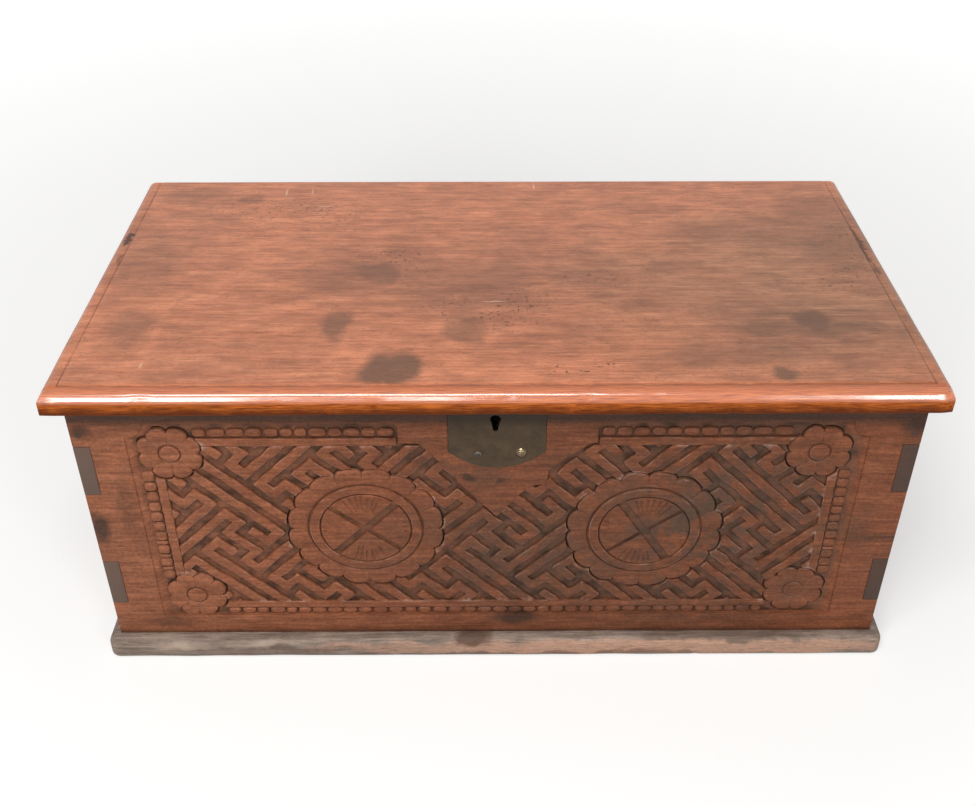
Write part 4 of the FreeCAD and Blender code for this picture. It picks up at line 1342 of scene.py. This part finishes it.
# %% Flat band on the lid's front edge
band_turn = math.radians(60)
band_level = top_round * math.cos(math.radians(15))
flattened = 0
for vertex in lid.data.vertices:
    up = vertex.co.z - (lid_high.z - top_round)
    out = lid_low.y + top_round - vertex.co.y
    beyond = out * math.sin(band_turn) + up * math.cos(band_turn) - band_level
    if up > 0 and out > 0 and beyond > 0:
        vertex.co.y += beyond * math.sin(band_turn)
        vertex.co.z -= beyond * math.cos(band_turn)
        flattened += 1
print(flattened, "points pressed flat")

# %% Base plank with rounded corners
base_low, base_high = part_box("base_board")
base_border = 13 * MM
base_corner = 12 * MM
base_top_round = 8 * MM
base_under_round = 3 * MM
base = plank("worn_base", "base_board", base_border, plank_step)


def at_corner(a, b):
    return abs(a.z - b.z) > MM and all(
        min(p.x - base_low.x, base_high.x - p.x) < hair and min(p.y - base_low.y, base_high.y - p.y) < hair
        for p in (a, b))


bevel_edges(base, at_corner, base_corner, 6)


def rounded_rim(piece, level, width, segments):
    """Bevel the sharp outline at one height, wherever it runs."""
    pick_edges(piece, lambda a, b: False)
    bpy.ops.mesh.edges_select_sharp(sharpness=math.radians(50))
    bpy.ops.object.mode_set(mode="OBJECT")
    mesh = piece.data
    sharp = {tuple(sorted(e.vertices)) for e in mesh.edges if e.select}
    points = {tuple(sorted((tuple(mesh.vertices[a].co), tuple(mesh.vertices[b].co)))) for a, b in sharp}
    bevel_edges(piece, lambda a, b: abs(a.z - level) < hair and abs(b.z - level) < hair
                and tuple(sorted((tuple(a), tuple(b)))) in points, width, segments)


rounded_rim(base, base_high.z, base_top_round, 6)
rounded_rim(base, base_low.z, base_under_round, 3)
print(base.name, len(base.data.polygons), "faces")

# %% [markdown]
# A scribed line runs along the lid's front and both ends, sixteen millimetres in. The grid has a line
# of edges just there. A narrow bevel doubles it, and the vertices left in the middle are pushed down.

# %% Scribed line of the lid
groove_half = 1.0 * MM
groove_depth = 0.7 * MM
scribe_x = (lid_low.x + groove_inset, lid_high.x - groove_inset)
scribe_y = lid_low.y + groove_inset


def on_scribe(p):
    """Whether a point of the lid's top lies on the scribed line."""
    if abs(p.z - lid_high.z) > hair or p.y < scribe_y - hair:
        return False
    on_end = any(abs(p.x - x) < hair for x in scribe_x)
    on_front = abs(p.y - scribe_y) < hair and scribe_x[0] - MM < p.x < scribe_x[1] + MM
    return on_end or on_front


def along_scribe(a, b):
    same_line = abs(a.x - b.x) < hair or abs(a.y - scribe_y) + abs(b.y - scribe_y) < 2 * hair
    return on_scribe(a) and on_scribe(b) and same_line


bevel_edges(lid, along_scribe, groove_half, 2)
pressed = 0
for vertex in lid.data.vertices:
    if on_scribe(vertex.co):
        vertex.co.z -= groove_depth
        pressed += 1
print(pressed, "vertices pressed along the scribed line")

# %% [markdown]
# Smooth noise presses the rims of both planks in, and the front corners of the lid are worn round, the
# right one more than the left. Last, a seat for the keeper plate is cut into the lid's underside.

# %% Wear and the keeper's seat
lid_rim = 15 * MM
lid_wear = 0.9 * MM
base_rim = 12 * MM
base_wear = 1.3 * MM
rub_grain = 20
corner_reach = 15 * MM
corner_wear = (0.12, 0.4)


def wear_rim(piece, node, reach, wear, grain):
    """Press the front and the ends in along their own normals by smooth noise, more where knocked."""
    low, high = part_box(node)
    normals = [vertex.normal.copy() for vertex in piece.data.vertices]
    for vertex, normal in zip(piece.data.vertices, normals):
        p = vertex.co
        edge = min(p.x - low.x, high.x - p.x, p.y - low.y)
        if edge > reach:
            continue
        rub = 0.5 + 0.5 * noise.noise(p * grain)
        knock = max(0.0, noise.noise(p * grain * 2.7 + Vector((3, 5, 7))) - 0.42) * 3
        vertex.co -= normal * (1 - edge / reach) * wear * (rub + knock)


def round_corners(piece, reach, amounts):
    """Wear the left and right front corners round, by drawing squares round each towards circles."""
    at_corner = [(side * (lid_high.x - reach), lid_low.y + reach, side, amount)
                 for side, amount in zip((-1, 1), amounts)]
    pick_faces(piece, lambda p: any((p.x - x) * side > 0 and p.y < y for x, y, side, _ in at_corner))
    bpy.ops.mesh.subdivide(number_cuts=3)
    bpy.ops.object.mode_set(mode="OBJECT")
    for vertex in piece.data.vertices:
        for x, y, side, amount in at_corner:
            out = Vector((vertex.co.x - x, vertex.co.y - y, 0))
            if out.x * side > hair and out.y < -hair:
                vertex.co -= out * amount * (1 - max(abs(out.x), abs(out.y)) / out.length)


wear_rim(lid, "lid_board", lid_rim, lid_wear, rub_grain)
wear_rim(base, "base_board", base_rim, base_wear, rub_grain)
round_corners(lid, corner_reach, corner_wear)
keeper_low, keeper_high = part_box("keeper_plate")
grown = Vector((seat_clear,) * 3)
cut_away(lid, [add_block("keeper_seat", keeper_low - grown, keeper_high + grown)])
for piece in (lid, base, back_board, *end_boards):
    smooth_by_angle(piece)
print(lid.name, len(lid.data.polygons), "faces")

# %% [markdown]
# ### Polished lid
# The lid has been polished over and over with shellac, so it is redder and smoother than the rest, and
# glossiest on the moulded edge, which is rubbed down to orange wood and goes dark underneath. Pots and
# damp things have left dark patches, the middle and the right have gone greyer, and old polish fills
# the scribed line.

# %% Where the lid is marked
lid_stains = [
    ((-356, -104, 0), (30, 46, 0), 0.5), ((-366, 10, 0), (50, 80, 0), 0.25),
    ((-157, -99, 0), (18, 36, 0), 0.75), ((-108, -173, 0), (25, 33, 0), 1.0),
    ((-90, -173, 0), (25, 33, 0), 1.0), ((-30, -110, 0), (24, 32, 0), 0.6),
    ((-120, -2, 0), (30, 30, 0), 0.75), ((-150, -10, 0), (70, 50, 0), 0.4),
    ((310, -93, 0), (24, 26, 0), 0.95), ((285, -106, 0), (90, 17, 0), 0.6),
    ((335, -108, 0), (60, 14, 0), 0.6), ((265, -182, 0), (17, 11, 0), 0.85),
    ((372, 84, 0), (70, 120, 0), 0.5), ((300, 90, 0), (150, 40, 0), 0.35),
    ((-352, 180, 0), (40, 26, 0), 0.5), ((-278, 167, 0), (20, 13, 0), 0.5),
    ((230, -150, 0), (90, 24, 0), 0.35), ((-60, -20, 0), (110, 60, 0), 0.3),
]
lid_shades = [((60, -20, 0), (330, 130, 0), 1.0), ((300, -90, 0), (230, 170, 0), 1.0),
              ((340, 90, 0), (160, 110, 0), 0.15), ((-130, 10, 0), (150, 80, 0), 0.7),
              ((-370, 30, 0), (90, 110, 0), 0.5), ((-250, -150, 0), (230, 90, 0), 0.4)]
lid_chips = [((-403, 74, 0), (5, 17, 0), 0.9), ((-400, 30, 0), (3, 12, 0), 0.5),
             ((399, 60, 0), (2.4, 55, 0), 0.65), ((401, 10, 0), (2.4, 24, 0), 0.5)]
grey_places = [((330, -20, 0), (280, 240, 0), 1.0)]
lid_scratches = [((-244, 186, 0), (1.3, 13, 0), 0.6), ((-214, 188, 0), (1.2, 10, 0), 0.5),
                 ((48, 200, 0), (1.2, 9, 0), 0.7), ((-1, -56, 0), (15, 1.1, 0), 0.6),
                 ((-195, 150, 0), (14, 1.1, 0), 0.4), ((-330, -165, 0), (2, 7, 0), 0.4)]
pit_places = [((0, -62, 0), (90, 46, 0), 1.0), ((68, -172, 0), (75, 24, 0), 1.0),
              ((-120, 20, 0), (70, 40, 0), 0.8), ((380, 40, 0), (30, 90, 0), 0.8),
              ((120, -20, 0), (60, 30, 0), 0.7), ((-240, 130, 0), (120, 40, 0), 0.6)]
print(len(lid_stains), "stains,", len(lid_chips), "chips and", len(lid_scratches), "scratches")

# %% Top of the lid


def stained_top(tree, place, colour, height):
    """The wood's colour with its clouds, pits, stains and scratches, and how stained each point is."""
    loose = wandering(tree, place, 7, 0.2)
    cloud = add_node(tree, "TexNoise", {"Vector": loose, "Scale": 16, "Detail": 7, "Roughness": 0.7})
    cloud = add_node(tree, "MapRange", {0: cloud, 1: 0.32, 2: 0.68, 3: 0.84, 4: 1.14})
    colour = add_node(tree, "Mix", {0: 1.0, 6: colour, 7: cloud}, 2, data_type="RGBA", blend_type="MULTIPLY")
    for places, tint in ((lid_shades, "#d6dade"), (grey_places, "#ecfeff")):
        fade = marks(tree, loose, places, 0.9)
        colour = add_node(tree, "Mix", {0: fade, 6: colour, 7: linear(tint)}, 2, data_type="RGBA",
                          blend_type="MULTIPLY")
    pits = add_node(tree, "TexNoise", {"Vector": place, "Scale": 240, "Detail": 2})
    pits = add_node(tree, "MapRange", {0: pits, 1: 0.6, 2: 0.68})
    pitted = marks(tree, loose, pit_places, 0.7)
    pits = add_node(tree, "Math", {0: pits, 1: pitted}, operation="MULTIPLY")
    colour = add_node(tree, "Mix", {0: pits, 6: colour, 7: linear("#4a2c1c")}, 2, data_type="RGBA")
    stain = marks(tree, wandering(tree, place, 40, 0.03), lid_stains, 0.45)
    streak = add_node(tree, "MapRange", {0: height, 1: 0.2, 2: 0.7, 3: 1.0, 4: 0.75})
    stain = add_node(tree, "Math", {0: stain, 1: streak}, operation="MULTIPLY")
    colour = add_node(tree, "Mix", {0: stain, 6: colour, 7: linear("#6b4c3c")}, 2, data_type="RGBA")
    scratch = marks(tree, wandering(tree, place, 90, 0.006), lid_scratches, 0.6)
    colour = add_node(tree, "Mix", {0: scratch, 6: colour, 7: linear("#eec6a4")}, 2, data_type="RGBA")
    return colour, stain


print("the largest stain reaches", max(max(reach) for _, reach, _ in lid_stains), "mm")

# %% [markdown]
# On the moulding the cut crosses the growth lines at a low angle, so it shows long thin stripes. They
# are orange where sleeves rub, browner down the upright face, and darker towards the bottom.

# %% Moulded edge of the lid
stripe_long = 110 * MM
stripe_wide = 2.4 * MM


def moulded_edge(tree, place, colour):
    """The lid's colour with rubbed stripes along its front edge and dark wood under it."""
    front = add_node(tree, "SeparateXYZ", {0: place}, "Y")
    rise = add_node(tree, "SeparateXYZ", {0: place}, "Z")
    scale = (1 / stripe_long, 1 / stripe_wide, 1 / stripe_wide)
    drawn = add_node(tree, "Mapping", {"Vector": place, "Scale": scale})
    stripe = add_node(tree, "TexNoise", {"Vector": drawn, "Detail": 4, "Roughness": 0.6})
    zones = [(front, lid_low.y + 19 * MM, lid_low.y + 14 * MM, ("#843c14", "#ba5c26", "#d27438")),
             (rise, lid_high.z - 7 * MM, lid_high.z - 11 * MM, ("#54230d", "#8e4418", "#c56c2a"))]
    for axis, start, full, (dark, middle, light) in zones:
        zone = add_node(tree, "MapRange", {0: axis, 1: start, 2: full, 3: 0.0, 4: 0.9})
        bare = add_node(tree, "ValToRGB", {0: stripe}, stops=[(0.36, dark), (0.62, light), (0.48, middle)])
        colour = add_node(tree, "Mix", {0: zone, 6: colour, 7: bare}, 2, data_type="RGBA")
    # darker towards the lower edge of the front face
    low_face = add_node(tree, "SeparateXYZ", {0: wandering(tree, place, 55, 0.012)}, "Z")
    under = add_node(tree, "MapRange", {0: low_face, 1: lid_low.z + 10 * MM, 2: lid_low.z + 3 * MM,
                                        3: 0.0, 4: 0.85})
    return add_node(tree, "Mix", {0: under, 6: colour, 7: linear("#52230c")}, 2, data_type="RGBA")


print("moulding is", round((lid_high.z - lid_low.z) / MM), "mm high")

# %% [markdown]
# Old polish has gathered in the scribed line, more at the front than at the ends, and it has fallen out
# again in places. The distance of a point from the line is the larger of how far it lies beyond the
# line at the end and at the front, without its sign.

# %% Polish in the scribed line


def line_polish(tree, place, colour):
    """The lid's colour with dark polish in its scribed line and in the chips at its ends."""
    across = add_node(tree, "SeparateXYZ", {0: place}, "X")
    front = add_node(tree, "SeparateXYZ", {0: place}, "Y")
    rise = add_node(tree, "SeparateXYZ", {0: place}, "Z")
    beyond_end = add_node(tree, "Math", {0: across, 1: 0.0}, operation="ABSOLUTE")
    beyond_end = add_node(tree, "Math", {0: beyond_end, 1: scribe_x[1]}, operation="SUBTRACT")
    beyond_end = add_node(tree, "Math", {0: beyond_end, 1: 2.0}, operation="MULTIPLY")
    beyond_front = add_node(tree, "Math", {0: scribe_y, 1: front}, operation="SUBTRACT")
    off_line = add_node(tree, "Math", {0: beyond_end, 1: beyond_front}, operation="MAXIMUM")
    off_line = add_node(tree, "Math", {0: off_line, 1: 0.0}, operation="ABSOLUTE")
    polish = add_node(tree, "MapRange", {0: off_line, 1: 0.5 * MM, 2: 1.7 * MM, 3: 0.55, 4: 0.0})
    on_top = add_node(tree, "Math", {0: rise, 1: lid_high.z - 2 * MM}, operation="GREATER_THAN")
    polish = add_node(tree, "Math", {0: polish, 1: on_top}, operation="MULTIPLY")
    broken = add_node(tree, "TexNoise", {"Vector": place, "Scale": 28, "Detail": 5, "Roughness": 0.7})
    broken = add_node(tree, "MapRange", {0: broken, 1: 0.4, 2: 0.62, 3: 0.12, 4: 1.0})
    polish = add_node(tree, "Math", {0: polish, 1: broken}, operation="MULTIPLY")
    chips = marks(tree, wandering(tree, place, 150, 0.014), lid_chips, 0.3)
    polish = add_node(tree, "Math", {0: polish, 1: chips}, operation="MAXIMUM")
    return add_node(tree, "Mix", {0: polish, 6: colour, 7: linear("#3a2114")}, 2, data_type="RGBA")


print("line lies", round(groove_inset / MM), "mm in from the edge")

# %% [markdown]
# The inside of the lid is the same plank with wax in place of shellac, so it is darker and has none of
# the marks. A coat on the rounded front edge is the thick shellac that mirrors the window.

# %% Finish of the lid


def polished_teak():
    finish, tree, shader, place = new_finish("shellac_polished_teak")
    wood, height = teak_grain(tree, place, 0, ("#ac6646", "#c97f5d", "#dc926b"), 0.55)
    colour, stain = stained_top(tree, place, wood, height)
    colour = moulded_edge(tree, place, colour)
    colour = line_polish(tree, place, colour)
    waxed = add_node(tree, "Mix", {0: 1.0, 6: wood, 7: linear("#aa9a89")}, 2, data_type="RGBA",
                     blend_type="MULTIPLY")
    front = add_node(tree, "SeparateXYZ", {0: place}, "Y")
    rise = add_node(tree, "SeparateXYZ", {0: place}, "Z")
    inside = add_node(tree, "MapRange", {0: rise, 1: lid_low.z + 1.2 * MM, 2: lid_low.z + 0.2 * MM})
    colour = add_node(tree, "Mix", {0: inside, 6: colour, 7: waxed}, 2, data_type="RGBA")
    tree.links.new(colour, shader["Base Color"])
    tree.links.new(add_node(tree, "MapRange", {0: stain, 3: 0.36, 4: 0.46}), shader["Roughness"])
    lit = add_node(tree, "MapRange", {0: rise, 1: lid_high.z - 10.5 * MM, 2: lid_high.z - 8 * MM})
    tree.links.new(add_node(tree, "MapRange", {0: lit, 3: 0.05, 4: 0.3}), shader["Specular IOR Level"])
    flat = add_node(tree, "MapRange", {0: front, 1: lid_low.y + 7 * MM, 2: lid_low.y + 14 * MM,
                                       3: 1.0, 4: 0.0})
    coat = add_node(tree, "Math", {0: lit, 1: flat}, operation="MULTIPLY")
    tree.links.new(coat, shader["Coat Weight"])
    shader["Coat Roughness"].default_value = 0.16
    shader["Coat IOR"].default_value = 1.75
    bump = add_node(tree, "Bump", {"Height": height, "Distance": 0.3 * MM, "Strength": 0.4})
    tree.links.new(bump, shader["Normal"])
    return finish


lid_finish = polished_teak()
print(lid_finish.name, len(lid_finish.node_tree.nodes), "nodes")

# %% [markdown]
# ### Worn base
# The base has lost its polish: grey dust lies on the ledge, the rounded edge is scuffed to bare pinkish
# wood from the middle to the right and in a patch at the left, and the foot has been wetted by mops.

# %% Finish of the base
bare_places = [((170, -200, 12), (330, 30, 14), 1.0), ((-120, -200, 14), (90, 30, 9), 0.7)]
pale_places = [((-335, -200, 16), (38, 30, 8), 0.7), ((-250, -200, 18), (34, 30, 5), 0.4)]
dark_places = [((-25, -200, 22), (24, 30, 10), 0.8), ((-230, -200, 8), (120, 30, 9), 0.4),
               ((60, -200, 3), (300, 30, 5), 0.5), ((250, -200, 27), (190, 30, 7), 0.45)]


def scuffed_teak():
    finish, tree, shader, place = new_finish("scuffed_teak")
    colour, height = teak_grain(tree, place, 0, ("#5b4c41", "#87766a", "#a69486"), 0.4)
    loose = wandering(tree, place, 30, 0.03)
    streaks = add_node(tree, "MapRange", {0: height, 1: 0.3, 2: 0.6, 3: 0.2, 4: 1.0})
    bare = marks(tree, loose, bare_places, 0.35)
    bare = add_node(tree, "Math", {0: bare, 1: streaks}, operation="MULTIPLY")
    rise = add_node(tree, "SeparateXYZ", {0: place}, "Z")
    rim = add_node(tree, "MapRange", {0: rise, 1: base_high.z - 0.5 * MM, 2: base_high.z - 4 * MM})
    bare = add_node(tree, "Math", {0: bare, 1: rim}, operation="MULTIPLY")
    colour = add_node(tree, "Mix", {0: bare, 6: colour, 7: linear("#c4967c")}, 2, data_type="RGBA")
    pale = add_node(tree, "Math", {0: marks(tree, loose, pale_places, 0.9), 1: rim}, operation="MULTIPLY")
    colour = add_node(tree, "Mix", {0: pale, 6: colour, 7: linear("#c9b09c")}, 2, data_type="RGBA")
    dark = marks(tree, loose, dark_places, 0.5)
    colour = add_node(tree, "Mix", {0: dark, 6: colour, 7: linear("#4e3527")}, 2, data_type="RGBA")
    tree.links.new(colour, shader["Base Color"])
    shader["Roughness"].default_value = 0.62
    shader["Specular IOR Level"].default_value = 0.3
    bump = add_node(tree, "Bump", {"Height": height, "Distance": 0.5 * MM, "Strength": 0.7})
    tree.links.new(bump, shader["Normal"])
    return finish


base_finish = scuffed_teak()
print(base_finish.name, len(base_finish.node_tree.nodes), "nodes")

# %% [markdown]
# ## Metals
# The lock plate is a thin sheet of iron gone brown, with one small tack and one domed brass stud. The
# hinges, the lock and the nails are forged iron: dark, scaly and barely shiny. The colour of each comes
# from two tones of the same metal that change places at the size of its scale and rust. From the top of
# the lock plate up, every metal is painted darker, as the shade under the lid with some dust in it.

# %% Iron and brass


def old_metal(name, dark, light, metallic, rough, grit, shine=0.5, hollows=None):
    """Metal with patches of scale and rust at a grit of a given size, darker at given spots, and painted
    shade under the lid.
    """
    finish, tree, shader, place = new_finish(name)
    cloud = add_node(tree, "TexNoise", {"Vector": place, "Scale": 1 / grit, "Detail": 6, "Roughness": 0.7})
    colour = add_node(tree, "ValToRGB", {0: cloud}, stops=[(0.35, dark), (0.65, light)])
    level = add_node(tree, "SeparateXYZ", {0: place}, "Z")
    # painted shade under the lid with some dust, full from the plate's top up, so also on the lid's metal
    darkening = add_node(tree, "MapRange", {0: level, 1: shade_and_dust_from, 2: shade_and_dust_full, 3: 0.0, 4: 0.6})
    if hollows:
        darkening = add_node(tree, "Math", {0: darkening, 1: marks(tree, place, hollows, 0.5)}, operation="MAXIMUM")
    colour = add_node(tree, "Mix", {0: darkening, 6: colour, 7: linear("#1d1916")}, 2, data_type="RGBA")
    tree.links.new(colour, shader["Base Color"])
    shader["Metallic"].default_value = metallic
    shader["Specular IOR Level"].default_value = shine
    gloss = add_node(tree, "MapRange", {0: cloud, 1: 0.3, 2: 0.7, 3: rough - 0.1, 4: rough + 0.12})
    tree.links.new(gloss, shader["Roughness"])
    bump = add_node(tree, "Bump", {"Height": cloud, "Distance": 0.2 * MM, "Strength": 0.4})
    tree.links.new(bump, shader["Normal"])
    return finish


tack_low, tack_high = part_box("lock_plate_tack")
tack_reach = 0.6 * (tack_high.x - tack_low.x) / MM
tack_hollow = [((tack_low + tack_high) / (2 * MM), (tack_reach, 0, tack_reach), 0.9)]
plate_finish = old_metal("browned_iron_plate", "#3b2e22", "#4f402f", 0.1, 0.55, 14 * MM, 0.2)
tack_finish = old_metal("bright_iron_tack", "#5d5145", "#8d7f6e", 0.3, 0.4, 2 * MM, hollows=tack_hollow)
iron_finish = old_metal("forged_iron", "#241f1c", "#4a4039", 0.7, 0.55, 6 * MM)
nail_finish = old_metal("rusted_nail_iron", "#33231b", "#4d3527", 0.3, 0.6, 2 * MM)
brass_finish = old_metal("rubbed_brass", "#554635", "#85735a", 1.0, 0.2, 3 * MM)
metals = {"lock_plate": plate_finish, "lock_plate_tack": tack_finish, "lock_plate_stud": brass_finish,
          "corner_nails": nail_finish}
wooden = {"front_board", "back_board", "left_side_board", "right_side_board", "base_board", "lid_board"}
for name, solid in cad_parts.items():
    if name in wooden:
        continue
    solid.data.materials.clear()
    solid.data.materials.append(metals.get(name, iron_finish))
print(len(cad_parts) - len(wooden), "solids in metal")

# %% [markdown]
# ## Putting the chest together
# Each wooden piece takes its finish, rides on the body that its solid belongs to and stands for that
# solid, so that it moves with the lid or stays with the box. The front has two finishes, and the faces
# of its scribed line already point to the second one.

# %% Finishes and bodies
wooden_pieces = [
    (front_board, [carved_finish, line_finish], "carcass", "front_board", "carved_teak"),
    (back_board, [back_finish], "carcass", "back_board", "plain_teak"),
    (end_boards[0], [end_finish], "carcass", "left_side_board", "plain_teak"),
    (end_boards[1], [end_finish], "carcass", "right_side_board", "plain_teak"),
    (base, [base_finish], "carcass", "base_board", "base_teak"),
    (lid, [lid_finish], "lid", "lid_board", "lid_teak"),
]
for piece, finishes, body, node, slot in wooden_pieces:
    indices = [face.material_index for face in piece.data.polygons]
    piece.data.materials.clear()
    for finish in finishes:
        piece.data.materials.append(finish)
    for face, index in zip(piece.data.polygons, indices):
        face.material_index = min(index, len(finishes) - 1)
    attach(piece, body)
    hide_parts(node)
    print(piece.name, "rides on", body)
